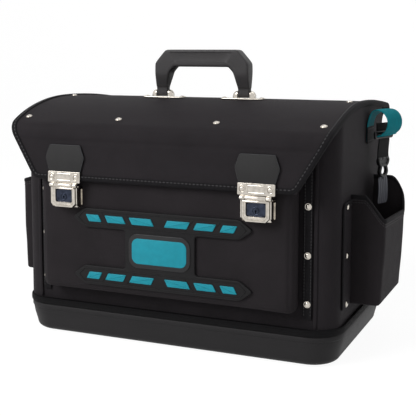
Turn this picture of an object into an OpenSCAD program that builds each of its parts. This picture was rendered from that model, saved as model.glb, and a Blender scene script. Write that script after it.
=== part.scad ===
// Technician's tool bag: a fabric-covered box on a moulded plastic tray, with a hinged
// lid whose front flap is held by two key locks, a folding carrying handle and two side
// pockets. Lengths are in millimetres. The origin is the centre of the tray's underside,
// X runs to the bag's right as seen from the front, Y to its back and Z up.

/* [Base tray] */
// Width of the tray at its rim
tray_w = 480; // [440:1:560]
// Depth of the tray at its rim
tray_d = 290; // [270:1:340]
// Height of the tray
tray_h = 42; // [36:1:55]
// Radius of the tray's corners, seen from above
tray_corner_r = 46; // [40:1:56]
// How much each side leans in from the rim to the lower edge
tray_draft = 7; // [2:0.5:10]
// Height of the slanted edge round the underside
tray_edge_h = 8; // [5:0.5:12]
// How much the slanted edge leans in
tray_edge_in = 9; // [4:0.5:12]
// Wall of the tray
tray_wall = 3; // [2:0.25:4]
// Width of the shelf inside the rim that the walls stand on
shelf_w = 18; // [15:0.5:24]
// Height of the binding band above the rim
band_h = 10; // [6:0.5:14]
// How far the binding band stands out past the rim
band_out = 1; // [0:0.25:3]
// Thickness of the board on the tray's floor
floor_board_t = 4; // [3:0.5:6]

/* [Walls] */
// Distance from the rim in to the side walls
side_inset = 4; // [2:0.5:6]
// Distance from the rim in to the front and back walls
front_inset = 9.5; // [8:0.5:12]
// Radius of the walls' corners
wall_corner_r = 26; // [22:1:28]
// Thickness of a covered wall board
wall_t = 4; // [3:0.5:5]
// Width of the flat stretch between a rounded corner and the front wall's edge
corner_flat = 4; // [2:0.5:6]

/* [Front panel] */
// Distance between the padded front panel and the front wall's edge
panel_margin = 16; // [14:0.5:24]
// Thickness of the padded front panel
panel_t = 29; // [24:0.5:32]
// Height of the panel's lower edge above the binding band
panel_lift = 19; // [14:0.5:24]
// How far the panel reaches up behind the flap
panel_lap = 30; // [24:1:36]
// Radius of the panel's corners
panel_r = 5; // [3:0.5:14]

/* [Front strips] */
// Width of the riveted strip beside the panel
strip_w = 12; // [10:0.5:13]
// Thickness of the riveted strip
strip_t = 1.6; // [1:0.1:2.5]
// Height of the strip's lower end above the binding band
strip_lift = 12; // [6:0.5:16]
// Height of the strip's lowest rivet above the panel's lower edge
strip_rivet_lift = 13; // [8:0.5:18]
// Distance between the strip's rivets
strip_rivet_step = 64.5; // [56:0.5:66]

/* [Lid] */
// How far the lid stands out past each side wall
lid_over = 4; // [3:0.5:7]
// Thickness of the covered lid board
lid_t = 5; // [4:0.5:6]
// Height of the lid's ridge above the floor
ridge_z = 341; // [336:0.5:348]
// Distance of the ridge in front of the bag's middle
ridge_front = 17; // [10:1:24]
// Distance of the lid's front bend behind the panel's face
bend_back = 8; // [4:0.5:12]
// How far the lid falls from its ridge to the front bend
bend_fall = 28.5; // [24:0.5:32]
// Outer radius of the front bend
bend_r = 24; // [18:0.5:28]
// How far the front flap leans out from upright, in degrees
flap_lean = 3; // [0:0.5:8]
// Length of the front flap below the bend
flap_len = 59; // [54:0.5:64]
// How much narrower each side of the flap is at its lower edge
flap_taper = 47; // [40:1:54]
// Height over which the flap narrows, up from its lower edge
taper_len = 78; // [70:1:86]
// Width of the binding along the lid's edges
binding_w = 8; // [6:0.5:10]
// Thickness of the binding along the lid's edges
binding_t = 7.6; // [6.2:0.1:8.6]
// How far the hinge line lies below the ridge
hinge_fall = 20; // [16:0.5:26]
// Radius of the hinge welt
welt_r = 4; // [3:0.25:5]

/* [Rivets] */
// Radius of a rivet head
rivet_r = 5.2; // [4:0.1:6]
// Height of a rivet head
rivet_h = 2.2; // [1.5:0.1:3]
// Radius of a rivet's shank
shank_r = 2; // [1.5:0.1:2.5]
// Distance of the lid's outer rivets from its side edge
lid_rivet_edge = 21; // [18:0.5:26]
// Distance of the lid's front rivets in front of the front wall
lid_rivet_over = 8.5; // [8:0.25:10]
// Width of the stiffening bar inside the front of the lid
front_bar_w = 11; // [10:0.5:12]
// Width of the rail inside the lid's ridge
rail_w = 30; // [26:1:40]
// Thickness of the bar and the rail
bar_t = 2; // [1.5:0.25:3]

/* [Handle] */
// Outer width of the handle
handle_w = 147.5; // [130:0.5:170]
// Height of the handle above its pivot
handle_h = 64; // [55:0.5:75]
// Thickness of the grip from its inner to its outer edge
grip_t = 25; // [20:0.5:28]
// Depth of the grip from front to back
grip_d = 23; // [18:0.5:26]
// Width of each of the handle's legs
leg_w = 18; // [15:0.5:22]
// Length of the slanted corner, across and down
handle_bevel = 17; // [12:0.5:22]
// Outer radius of the pivot eyes
eye_r = 5; // [4.5:0.1:6]
// Radius of the pivot pins
handle_pin_r = 2.5; // [2:0.1:3]
// Length of a handle plate
plate_len = 62; // [56:1:76]
// Depth of a handle plate
plate_d = 22; // [18:0.5:28]
// Thickness of a handle plate
plate_t = 2; // [1.5:0.25:2.5]
// Width of an ear on a handle plate
ear_w = 6; // [4:0.5:8]

/* [Locks] */
// Distance of a lock's middle from the end of the flap's lower edge
lock_inset = 51.5; // [46:0.5:56]
// Width of a strike plate
strike_w = 51; // [50:0.5:56]
// Height of a strike plate
strike_h = 17; // [15:0.5:20]
// Thickness of sheet metal in a lock
sheet_t = 1.5; // [1.2:0.1:2]
// Half the distance between a strike plate's rivets
strike_rivet_half = 19; // [17:0.5:21]
// Radius of a strike plate's rivet heads
strike_rivet_r = 3.6; // [3:0.1:4.5]
// Width of the rolled bar
bar_len = 43; // [41:0.5:48]
// Radius of the rolled bar
bar_r = 3; // [2.6:0.1:3.4]
// Radius of the pin inside the rolled bar
bar_pin_r = 1.5; // [1:0.1:1.8]
// How far the rolled bar's centre hangs below the flap's edge, along the flap
bar_drop = 6.2; // [5.4:0.1:7.4]
// Width of the hasp
hasp_w = 37.5; // [34:0.5:38.5]
// Height of the hasp below its pivot
hasp_h = 31; // [28:0.5:35]
// Depth of the hasp
hasp_d = 9; // [7:0.5:10]
// Width of the hasp's frame round the key plate
frame_w = 6; // [4:0.25:7]
// Width of the frame below the key plate
frame_foot = 7.5; // [6:0.5:9]
// Cut across the hasp's lower corners
hasp_bevel = 5; // [3:0.5:6]
// Radius of the key plug
plug_r = 4; // [3:0.1:5]
// Depth of the key plug below the pivot
plug_drop = 16.5; // [14:0.5:18]
// Width of the lock's base plate
base_plate_w = 44; // [42:0.5:50]

/* [Leather tabs] */
// Width of a tab at its top
tab_top_w = 42; // [36:1:48]
// Width of a tab at its widest
tab_mid_w = 62; // [54:1:70]
// Width of a tab at the flap's edge
tab_foot_w = 50; // [44:1:50]
// Height of a tab
tab_h = 53; // [46:1:60]
// Height of a tab's widest place
tab_mid_h = 37; // [30:1:42]
// Thickness of a tab
tab_t = 2; // [1.5:0.25:3]

/* [Badge] */
// Width of the moulded badge
badge_w = 268; // [200:1:272]
// Height of the moulded badge
badge_h = 108; // [90:1:112]
// Height of the badge's middle above the panel's lower edge
badge_lift = 70; // [60:1:70]
// Thickness of the badge's backing
badge_t = 4; // [2.5:0.25:5]
// Height of the badge's upper and lower rail
badge_rail_h = 27; // [20:0.5:32]
// Width of the badge's central plaque
plaque_w = 104; // [80:1:120]
// Thickness of the coloured inlays and the plaque
inlay_t = 1.2; // [0.8:0.1:2]

/* [Side pockets] */
// How far a pocket stands out from the side wall
pocket_out = 46.5; // [38:0.5:52]
// Length of a pocket along the side wall
pocket_len = 134; // [110:1:134]
// Height of a pocket's underside above the binding band
pocket_lift = 19; // [14:0.5:24]
// Height of a pocket's back edge above the floor
pocket_back_z = 229; // [215:1:240]
// Height of a pocket's front edge at the wall
pocket_front_z = 220; // [205:1:229]
// Height of a pocket's outer edge above the floor
pocket_lip_z = 191; // [170:1:200]
// How much narrower a pocket is at its underside
pocket_taper = 8; // [2:0.5:12]
// Thickness of a pocket's wall
pocket_wall = 3; // [2:0.25:4]
// Radius of a pocket's outer corners
pocket_r = 14; // [10:0.5:18]
// Width of the flanges that hold a pocket
flange_w = 42; // [30:1:42]
// Thickness of a flange
flange_t = 1.6; // [1:0.1:2.5]

/* [Side strap] */
// Distance of the strap behind the bag's middle
strap_back = 30; // [20:1:36]
// Width of the strap's loop
loop_w = 38; // [30:1:40]
// Outer radius of the strap's loop
loop_r = 19; // [16:0.5:20]
// How far the loop's middle lies below the lid's ridge
loop_fall = 30; // [26:0.5:36]
// Thickness of the strap
strap_t = 3; // [2:0.25:3.5]
// Length of the hanging strap
tail_len = 25; // [20:0.5:30]
// Width of the hanging strap
tail_w = 28; // [22:1:32]
// Height of the snap hook
hook_h = 26; // [22:0.5:30]
// Width of the hanging tag
tag_w = 26; // [20:1:30]
// Height of the hanging tag
tag_h = 38; // [30:1:44]

/* [Hidden] */
$fn = 48;

// Clearances and overruns
fit_gap = 0.3;
run_gap = 0.05;
lid_gap = 0.6;
cut_over = 2;
arc_steps = 10;

// Walls, from the tray
tray_slope = tray_draft / (tray_h - tray_edge_h);
body_half_w = tray_w / 2 - side_inset;
body_half_d = tray_d / 2 - front_inset;
shelf_t = tray_wall;
band_top_z = tray_h + band_h;
front_wall_half = body_half_w - wall_corner_r - corner_flat;
strip_x = front_wall_half - panel_margin / 2;
strip_z = band_top_z + strip_lift;

// Lid profile, seen from the side: two arcs that share the ridge, and a bend at the front
lid_w = 2 * (body_half_w + lid_over);
binding_raise = (binding_t - lid_t) / 2;
lid_reach = 2 * tray_d;
bend_front = body_half_d + panel_t - bend_back;
bend_z = ridge_z - bend_fall;
hinge_z = ridge_z - hinge_fall;
lid_rivet_outer = lid_w / 2 - lid_rivet_edge;
lid_rivet_inner = lid_rivet_outer / 3;
lid_rivet_front = body_half_d + lid_rivet_over;
ridge_y = -ridge_front;
front_dy = bend_front - ridge_front;
front_dz = ridge_z - bend_z;
front_arc_r = (front_dy * front_dy + front_dz * front_dz) / (2 * front_dz);
bend_a = asin(front_dy / front_arc_r);
bend_y = ridge_y - (front_arc_r - bend_r) * sin(bend_a);
bend_c_z = ridge_z - front_arc_r + (front_arc_r - bend_r) * cos(bend_a);
flap_a = 90 - flap_lean;
hinge_y = body_half_d + welt_r + fit_gap;
wrap_r = welt_r + fit_gap + lid_t;
back_dy = hinge_y - ridge_y;
back_dz = hinge_z - ridge_z;
back_arc_r = (wrap_r * wrap_r - back_dy * back_dy - back_dz * back_dz) / (2 * (back_dz + wrap_r));
wrap_a = atan2(back_dy, back_dz + back_arc_r);

// Flap, measured up from its lower edge and out from its outer face
flap_top_y = bend_y - bend_r * sin(flap_a);
flap_top_z = bend_c_z + bend_r * cos(flap_a);
flap_foot_y = flap_top_y - flap_len * sin(flap_lean);
flap_foot_z = flap_top_z - flap_len * cos(flap_lean);
flap_foot_half = lid_w / 2 - flap_taper;
flap_slant = atan2(flap_taper, taper_len);

// Panel and locks
panel_w = 2 * (front_wall_half - panel_margin);
panel_z = band_top_z + panel_lift;
panel_top_z = flap_foot_z + panel_lap;
panel_face_y = -body_half_d - panel_t;
lock_half = flap_foot_half - lock_inset;
strike_out = tab_t + sheet_t + bar_r - sheet_t / 2 - fit_gap;
bar_y = flap_foot_y - bar_drop * sin(flap_lean) - strike_out * cos(flap_lean);
bar_z = flap_foot_z - bar_drop * cos(flap_lean) + strike_out * sin(flap_lean);
knuckle_share = 1 / 6;
outer_knuckle_w = bar_len * knuckle_share;
knuckle_half = bar_len / 2 - outer_knuckle_w;
outer_knuckle_x = (bar_len / 2 + knuckle_half) / 2;
tongue_w = outer_knuckle_w - 4 * fit_gap;
strike_low = -2;
strike_base = binding_raise + tab_t;
strike_rivet_h = rivet_h * strike_rivet_r / rivet_r;
strike_grip = strike_base + sheet_t + (lid_t + binding_t) / 2;
hasp_top = bar_r + fit_gap;
hasp_front = 1;
key_plate_top = hasp_top + frame_w / 2;
key_plate_t = 2;
keyhole_r = 1.2;
keyhole_len = 3.5;
ear_plate_x = hasp_w / 2 + 2 * fit_gap;
hook_lip = 2;
ear_hook = bar_r + hook_lip;
keeper_w = 4 * plug_r;
keeper_h = 3 * plug_r;

// Badge, as shares of its own sizes
badge_z = panel_z + badge_lift;
badge_foot_share = 0.86;
inlay_share = 0.36;
inlay_shares = [0.01, 0.17, 0.31, 0.42];
plaque_share = 0.88;
plaque_corner_share = 0.3;

// Handle
pivot_y = ridge_y;
pivot_h = plate_t + eye_r + 2 * fit_gap;
pivot_z = ridge_z + pivot_h;
leg_x = handle_w / 2 - leg_w / 2;
ear_gap = 0.5;
plate_shift_share = 0.125;
plate_x = leg_x - leg_w * plate_shift_share;
plate_rivet_share = 0.7;
bevel_rise_share = 1.15;
inner_bevel_share = 0.45;
leg_flare_share = 0.6;
leg_rise_share = 1.3;
top_flare_share = 1.7;
swell_share = 0.75;
round_off_share = 0.2;

// Pockets and strap
pocket_half = pocket_len / 2;
wall_face_x = body_half_w + fit_gap;
pocket_z = band_top_z + pocket_lift;
pocket_slope_share = 0.42;
pocket_fn = 32;
flange_fall = 7;
flange_mid = pocket_half + fit_gap + flange_w / 2;
flange_top_z = pocket_front_z - flange_fall;
rivet_share = 0.46;
pocket_rivet_z = [for (i = [-1:1])
    (pocket_z + flange_top_z) / 2 + i * rivet_share * (flange_top_z - pocket_z)];
loop_z = ridge_z - loop_fall;
loop_tab_share = 1.5;
loop_x = body_half_w + fit_gap + strap_t / 2 + loop_r;
slider_bar = 4;
slider_z = loop_z - loop_r - fit_gap;
tail_top_z = slider_z - slider_bar - fit_gap;
hook_pivot_z = tail_top_z - tail_len - 2 * fit_gap - slider_bar / 2;
hook_eye_r = 2;
hook_t = 7;
hook_hole_share = 0.4;
hook_top_share = 0.33;
hook_mid_share = 0.38;
tag_t = 0.8;

// Helpers for outlines
function mid_point(c, r, a) = [c[0] - r * sin(a), c[1] + r * cos(a)];
function arc_points(c, r, a0, a1) =
    [for (i = [0:arc_steps]) mid_point(c, r, a0 + (a1 - a0) * i / arc_steps)];
function lid_line(depth) = concat(
    [[flap_foot_y + depth * cos(flap_lean) - cut_over * sin(flap_lean),
        flap_foot_z - depth * sin(flap_lean) - cut_over * cos(flap_lean)]],
    arc_points([bend_y, bend_c_z], bend_r - depth, flap_a, bend_a),
    arc_points([ridge_y, ridge_z - front_arc_r], front_arc_r - depth, bend_a, 0),
    arc_points([ridge_y, ridge_z - back_arc_r], back_arc_r - depth, 0, -wrap_a),
    arc_points([hinge_y, hinge_z], wrap_r - depth, -wrap_a, -90));
// Height of the lid's two long arcs at y, depth below their outer face
function arc_z(y, depth) =
    let (r = y < ridge_y ? front_arc_r : back_arc_r)
    ridge_z - r + sqrt((r - depth) * (r - depth) - (y - ridge_y) * (y - ridge_y));
function reversed(list) = [for (i = [len(list) - 1:-1:0]) list[i]];

module rounded_outline(w, d, r) {
    square([w - 2 * r, d], center = true);
    square([w, d - 2 * r], center = true);
    for (sx = [-1, 1], sy = [-1, 1])
        translate([sx * (w / 2 - r), sy * (d / 2 - r)]) circle(r);
}

// A block with round corners whose sides lean in by lean over its height, down from its top
module leaning_block(w, d, r, h, lean) {
    rotate([90, 0, 0])
        translate([0, 0, -(d / 2 - r)]) linear_extrude(d - 2 * r) leaning_outline(w / 2, h, lean);
    rotate([90, 0, 90])
        translate([0, 0, -(w / 2 - r)]) linear_extrude(w - 2 * r) leaning_outline(d / 2, h, lean);
    for (sx = [-1, 1], sy = [-1, 1])
        translate([sx * (w / 2 - r), sy * (d / 2 - r), 0]) cylinder(h = h, r1 = r - lean, r2 = r);
}

module leaning_outline(half, h, lean) {
    polygon([[-half + lean, 0], [half - lean, 0], [half, h], [-half, h]]);
}

// Extrudes an outline drawn with Y across and Z up along X, centred
module along_x(length) {
    rotate([90, 0, 90]) translate([0, 0, -length / 2]) linear_extrude(length) children();
}

// Extrudes an outline drawn with X across and Z up towards the back, from its own plane
module to_back(depth) {
    rotate([90, 0, 0]) translate([0, 0, -depth]) linear_extrude(depth) children();
}

module both_sides() {
    children();
    mirror([1, 0, 0]) children();
}

// A domed rivet whose head stands on Z = 0, with its shank below
module rivet(r, h, grip) {
    dome_r = (r * r + h * h) / (2 * h);
    intersection() {
        translate([0, 0, h - dome_r]) sphere(dome_r);
        cylinder(h = h, r = r);
    }
    translate([0, 0, -grip]) cylinder(h = grip, r = shank_r);
}

module shank_hole(depth) {
    translate([0, 0, -depth]) cylinder(h = depth + cut_over, r = shank_r + run_gap);
}

// Base
module base_tray() {
    lower_w = tray_w - 2 * tray_draft;
    lower_d = tray_d - 2 * tray_draft;
    lower_r = tray_corner_r - tray_draft;
    color("#2b2c2f") difference() {
        union() {
            leaning_block(lower_w, lower_d, lower_r, tray_edge_h, tray_edge_in);
            translate([0, 0, tray_edge_h]) leaning_block(tray_w, tray_d, tray_corner_r,
                tray_h - tray_edge_h, tray_draft);
        }
        translate([0, 0, tray_edge_h]) leaning_block(tray_w - 2 * tray_wall, tray_d - 2 * tray_wall,
            tray_corner_r - tray_wall, tray_h - shelf_t - tray_edge_h, tray_draft - tray_slope * shelf_t);
        translate([0, 0, tray_wall]) leaning_block(lower_w - 2 * tray_wall,
            lower_d - 2 * tray_wall, lower_r - tray_wall, tray_edge_h - tray_wall + run_gap,
            tray_edge_in * (tray_edge_h - tray_wall) / tray_edge_h);
        translate([0, 0, tray_h - shelf_t - cut_over]) linear_extrude(shelf_t + 2 * cut_over)
            rounded_outline(tray_w - 2 * shelf_w, tray_d - 2 * shelf_w, tray_corner_r - shelf_w);
    }
}

module base_band() {
    color("#1b1b1d") translate([0, 0, tray_h]) linear_extrude(band_h) difference() {
        rounded_outline(tray_w + 2 * band_out, tray_d + 2 * band_out, tray_corner_r + band_out);
        rounded_outline(2 * (body_half_w + fit_gap), 2 * (body_half_d + fit_gap), wall_corner_r + fit_gap);
    }
}

module floor_board() {
    edge = tray_draft + tray_edge_in + tray_wall + fit_gap;
    color("#3a3b3d") translate([0, 0, tray_wall]) linear_extrude(floor_board_t)
        rounded_outline(tray_w - 2 * edge, tray_d - 2 * edge, tray_corner_r - edge);
}

// Walls
module under_lid(top_gap) {
    span = body_half_d + cut_over;
    top = [for (i = [-arc_steps:arc_steps])
        [i * span / arc_steps, arc_z(i * span / arc_steps, lid_t + top_gap)]];
    along_x(tray_w + 2 * cut_over) polygon(concat([[-span, tray_h]], top, [[span, tray_h]]));
}

module wall_ring() {
    translate([0, 0, tray_h]) linear_extrude(ridge_z - tray_h) difference() {
        rounded_outline(2 * body_half_w, 2 * body_half_d, wall_corner_r);
        rounded_outline(2 * (body_half_w - wall_t), 2 * (body_half_d - wall_t), wall_corner_r - wall_t);
    }
}

module side_wall() {
    color("#1d1c20") difference() {
        intersection() {
            wall_ring();
            under_lid(lid_gap + binding_raise);
            translate([front_wall_half, -body_half_d - cut_over, tray_h])
                cube([tray_w, 2 * (body_half_d + cut_over), ridge_z]);
        }
        flange_rivet_places() shank_hole(wall_t + flange_t + cut_over);
    }
}

module flat_wall() {
    translate([-front_wall_half + fit_gap, -body_half_d, tray_h])
        cube([2 * (front_wall_half - fit_gap), wall_t, ridge_z - tray_h]);
}

module front_wall() {
    color("#1d1c20") difference() {
        intersection() {
            flat_wall();
            under_lid(lid_gap);
        }
        both_sides() strip_rivet_places() shank_hole(wall_t + strip_t + cut_over);
    }
}

module back_wall() {
    color("#1d1c20") intersection() {
        mirror([0, 1, 0]) flat_wall();
        under_lid(lid_gap);
    }
}

module hinge_welt() {
    color("#19191b") translate([-lid_w / 2 + binding_w, hinge_y, hinge_z])
        rotate([0, 90, 0]) cylinder(h = lid_w - 2 * binding_w, r = welt_r);
}

// Front panel and badge
module front_panel() {
    color("#201e22") translate([0, panel_face_y, (panel_z + panel_top_z) / 2])
        to_back(panel_t - fit_gap) rounded_outline(panel_w, panel_top_z - panel_z, panel_r);
}

module both_halves() {
    children();
    mirror([0, 1, 0]) children();
}

module badge_outline() {
    w = badge_w / 2;
    foot = w * badge_foot_share;
    h = badge_h / 2;
    rail = h - badge_rail_h / 2;
    low = h - badge_rail_h;
    p = plaque_w / 2;
    polygon([[-w, rail], [-foot, h], [foot, h], [w, rail], [foot, low], [p, low], [p, -low],
        [foot, -low], [w, -rail], [foot, -h], [-foot, -h], [-w, -rail], [-foot, -low],
        [-p, -low], [-p, low], [-foot, low]]);
}

module badge_backing() {
    color("#131315") translate([0, panel_face_y - badge_t, badge_z]) to_back(badge_t) badge_outline();
}

module badge_inlays() {
    bar_h = badge_rail_h * inlay_share;
    z = badge_h / 2 - badge_rail_h / 2;
    color("#1a9bb0") translate([0, panel_face_y - badge_t - inlay_t, badge_z]) to_back(inlay_t)
        both_sides() both_halves() for (i = [0:len(inlay_shares) - 2]) {
            x0 = badge_w * inlay_shares[i] + bar_h / 2;
            x1 = badge_w * inlay_shares[i + 1];
            polygon([[x0, z - bar_h / 2], [x1 - bar_h / 2, z - bar_h / 2],
                [x1, z + bar_h / 2], [x0 + bar_h / 2, z + bar_h / 2]]);
        }
}

module badge_plaque() {
    h = (badge_h - 2 * badge_rail_h) * plaque_share;
    w = plaque_w * plaque_share;
    color("#202124") translate([0, panel_face_y - badge_t - inlay_t, badge_z])
        to_back(inlay_t) rounded_outline(w, h, h * plaque_corner_share);
}

// Riveted strips beside the panel
module strip_rivet_places() {
    for (i = [0:2])
        translate([strip_x, -body_half_d - strip_t, panel_z + strip_rivet_lift + i * strip_rivet_step])
            rotate([90, 0, 0]) children();
}

module front_strip() {
    color("#242326") difference() {
        translate([strip_x - strip_w / 2, -body_half_d - strip_t, strip_z])
            cube([strip_w, strip_t, panel_top_z - strip_z]);
        strip_rivet_places() shank_hole(strip_t + cut_over);
    }
}

module front_rivets() {
    color("#c9c7c2") both_sides() strip_rivet_places() rivet(rivet_r, rivet_h, strip_t + wall_t);
}

// Side pockets, drawn on the right
module pocket_block(grow) {
    top = pocket_back_z + grow;
    low_out = pocket_out - pocket_taper;
    r = pocket_r - grow;
    hull() {
        translate([0, 0, top]) pocket_plate(pocket_out, grow, r);
        translate([0, 0, pocket_z + grow]) pocket_plate(low_out, grow, r);
    }
}

module pocket_plate(out, inset, r) {
    half = pocket_half - inset;
    reach = out - inset;
    linear_extrude(fit_gap) translate([wall_face_x, 0]) {
        translate([inset, -half]) square([reach - r - inset, 2 * half]);
        for (s = [-1, 1]) translate([reach - r, s * (half - r)]) circle(r, $fn = pocket_fn);
    }
}

module pocket() {
    slope_x = pocket_out * pocket_slope_share;
    color("#1b1a1d") difference() {
        pocket_block(0);
        pocket_block(pocket_wall);
        translate([wall_face_x - cut_over, pocket_half - pocket_wall, 0]) rotate([90, 0, 0])
            linear_extrude(pocket_len + cut_over) polygon([
                [0, pocket_front_z], [slope_x, pocket_front_z],
                [pocket_out - pocket_wall / 2, pocket_lip_z], [2 * pocket_out, pocket_lip_z],
                [2 * pocket_out, 2 * pocket_back_z], [0, 2 * pocket_back_z]]);
        translate([wall_face_x + pocket_out - pocket_r, pocket_half - pocket_wall - cut_over, pocket_back_z])
            corner_cutter(pocket_r, pocket_wall + 2 * cut_over);
    }
}

// Rounds the outer upper corner of a plate that faces along Y
module corner_cutter(r, depth) {
    translate([0, 0, fit_gap - r]) rotate([-90, 0, 0]) linear_extrude(depth) difference() {
        translate([0, -r - cut_over]) square([r + cut_over, r + cut_over]);
        circle(r);
    }
}

module flange_rivet_places() {
    for (s = [-1, 1], z = pocket_rivet_z)
        translate([body_half_w + flange_t, s * flange_mid, z]) rotate([0, 90, 0]) children();
}

module pocket_flanges() {
    color("#19181b") difference() {
        for (s = [-1, 1])
            translate([body_half_w, s * flange_mid - flange_w / 2, pocket_z])
                cube([flange_t, flange_w, flange_top_z - pocket_z]);
        flange_rivet_places() shank_hole(flange_t + cut_over);
    }
}

module pocket_rivets() {
    color("#c9c7c2") both_sides() flange_rivet_places() rivet(rivet_r, rivet_h, flange_t + wall_t);
}

// Side strap on the right: loop, slider, hanging strap, snap hook and tag
module strap_loop() {
    tab_low = loop_z - loop_r * loop_tab_share;
    color("#1a9bb0") translate([0, strap_back - loop_w / 2, 0]) {
        translate([loop_x, 0, loop_z]) to_back(loop_w) difference() {
            circle(loop_r);
            circle(loop_r - strap_t);
        }
        translate([body_half_w + fit_gap, 0, tab_low])
            cube([strap_t, loop_w, loop_z - tab_low]);
    }
}

module slider_ring(half_w, z_low, z_high, bar, depth) {
    translate([loop_x - depth / 2, strap_back - half_w - bar, z_low - bar])
        difference() {
            cube([depth, 2 * (half_w + bar), z_high - z_low + 2 * bar]);
            translate([-cut_over, bar, bar])
                cube([depth + 2 * cut_over, 2 * half_w, z_high - z_low]);
        }
}

module strap_slider() {
    color("#161618") slider_ring(loop_w / 2 + fit_gap, slider_z, slider_z + strap_t + 2 * fit_gap,
        slider_bar, slider_bar);
}

module strap_tail() {
    color("#1a1a1c") translate([loop_x - strap_t / 2, strap_back - tail_w / 2, tail_top_z - tail_len])
        cube([strap_t, tail_w, tail_len]);
}

module snap_hook() {
    top = tail_w * hook_top_share;
    mid = tail_w * hook_mid_share;
    color("#151517") translate([loop_x, strap_back, hook_pivot_z]) {
        translate([0, -tail_w / 2, 0]) rotate([-90, 0, 0]) cylinder(h = tail_w, r = hook_eye_r);
        translate([-hook_t / 2, 0, 0]) rotate([90, 0, 90]) linear_extrude(hook_t) difference() {
            polygon([[-top, 0], [top, 0], [mid, -hook_h / 2], [0, -hook_h], [-mid, -hook_h / 2]]);
            translate([0, -hook_h / 2]) circle(hook_h * hook_hole_share / 2);
        }
    }
}

module hang_tag() {
    color("#9aa3ad") translate([loop_x - tag_t / 2, strap_back - tag_w / 2,
        hook_pivot_z - hook_h - fit_gap - tag_h]) cube([tag_t, tag_w, tag_h]);
}

// Lid: a sheet along the profile, kept to the lid's outline less an edge
module lid_sheet(raise, edge) {
    intersection() {
        along_x(lid_w + 2 * cut_over)
            polygon(concat(lid_line(-raise), reversed(lid_line(lid_t + raise))));
        lid_prism(edge);
    }
}

// The flap's own frame: X across, Y up along the flap from its lower edge, Z out
module on_flap() {
    translate([0, flap_foot_y, flap_foot_z]) rotate([90 - flap_lean, 0, 0]) children();
}

function flap_half(v) = flap_foot_half + flap_taper * v / taper_len;

// The lid's outline less an edge, cut straight through along the flap's own normal
module lid_prism(edge) {
    side = edge / cos(flap_slant);
    half = lid_w / 2 - edge;
    on_flap() translate([0, 0, -lid_reach]) linear_extrude(lid_reach + cut_over)
        polygon([[-flap_half(edge) + side, edge], [flap_half(edge) - side, edge], [half, taper_len],
            [half, lid_reach], [-half, lid_reach], [-half, taper_len]]);
}

module lid_panel() {
    color("#1f1d21") difference() {
        lid_sheet(0, binding_w);
        lid_rivet_places() shank_hole(lid_t + cut_over);
        plate_rivet_places() shank_hole(lid_t + cut_over);
        both_sides() strike_rivet_places() shank_hole(strike_grip + cut_over);
    }
}

module lid_binding() {
    color("#161517") difference() {
        lid_sheet(binding_raise, 0);
        lid_prism(binding_w - run_gap);
        both_sides() strike_rivet_places() shank_hole(strike_grip + cut_over);
    }
}

// Places on the lid's top surface, with Z along its outward normal
module on_lid(x, y) {
    front = y < ridge_y;
    r = front ? front_arc_r : back_arc_r;
    a = asin((ridge_y - y) / r);
    translate([x, ridge_y, ridge_z - r]) rotate([a, 0, 0]) translate([0, 0, r]) children();
}

module lid_rivet_places() {
    for (x = [-lid_rivet_outer, -lid_rivet_inner, lid_rivet_inner, lid_rivet_outer])
        on_lid(x, -lid_rivet_front) children();
    for (x = [-lid_rivet_outer, lid_rivet_outer]) on_lid(x, ridge_y) children();
}

module plate_rivet_places() {
    for (s = [-1, 1], t = [-1, 1])
        translate([s * plate_x + t * (plate_len / 2 - rivet_r), ridge_y, ridge_z]) children();
}

module lid_bar(y, w, length) {
    on_lid(0, y) translate([-length / 2, -w / 2, -lid_t - fit_gap - bar_t]) cube([length, w, bar_t]);
}

module lid_front_bar() {
    color("#8e9194") difference() {
        lid_bar(-lid_rivet_front, front_bar_w, lid_w - 4 * binding_w);
        lid_rivet_places() shank_hole(lid_t + bar_t + cut_over);
    }
}

module lid_handle_rail() {
    color("#8e9194") difference() {
        lid_bar(ridge_y, rail_w, lid_w - 4 * binding_w);
        lid_rivet_places() shank_hole(lid_t + bar_t + cut_over);
        plate_rivet_places() shank_hole(lid_t + bar_t + cut_over);
    }
}

module lid_rivets() {
    color("#c9c7c2") {
        lid_rivet_places() rivet(rivet_r, rivet_h, lid_t + fit_gap + bar_t);
        plate_rivet_places() translate([0, 0, plate_t + fit_gap])
            rivet(rivet_r * plate_rivet_share, rivet_h * plate_rivet_share,
                lid_t + plate_t + 2 * fit_gap + bar_t);
    }
}

// Leather tabs and strike plates, drawn on the right
module leather_tab() {
    color("#34353a") difference() {
        translate([lock_half, 0, 0]) on_flap() translate([0, 0, binding_raise]) linear_extrude(tab_t)
            polygon([[-tab_foot_w / 2, 0], [tab_foot_w / 2, 0], [tab_mid_w / 2, tab_mid_h],
                [tab_top_w / 2, tab_h], [-tab_top_w / 2, tab_h], [-tab_mid_w / 2, tab_mid_h]]);
        strike_rivet_places() shank_hole(tab_t + sheet_t + cut_over);
    }
}

module strike_rivet_places() {
    for (t = [-1, 1])
        translate([lock_half, 0, 0]) on_flap()
            translate([t * strike_rivet_half, strike_low + strike_h / 2, strike_base + sheet_t])
                children();
}

module at_bar() {
    translate([lock_half, bar_y, bar_z]) children();
}

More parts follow.
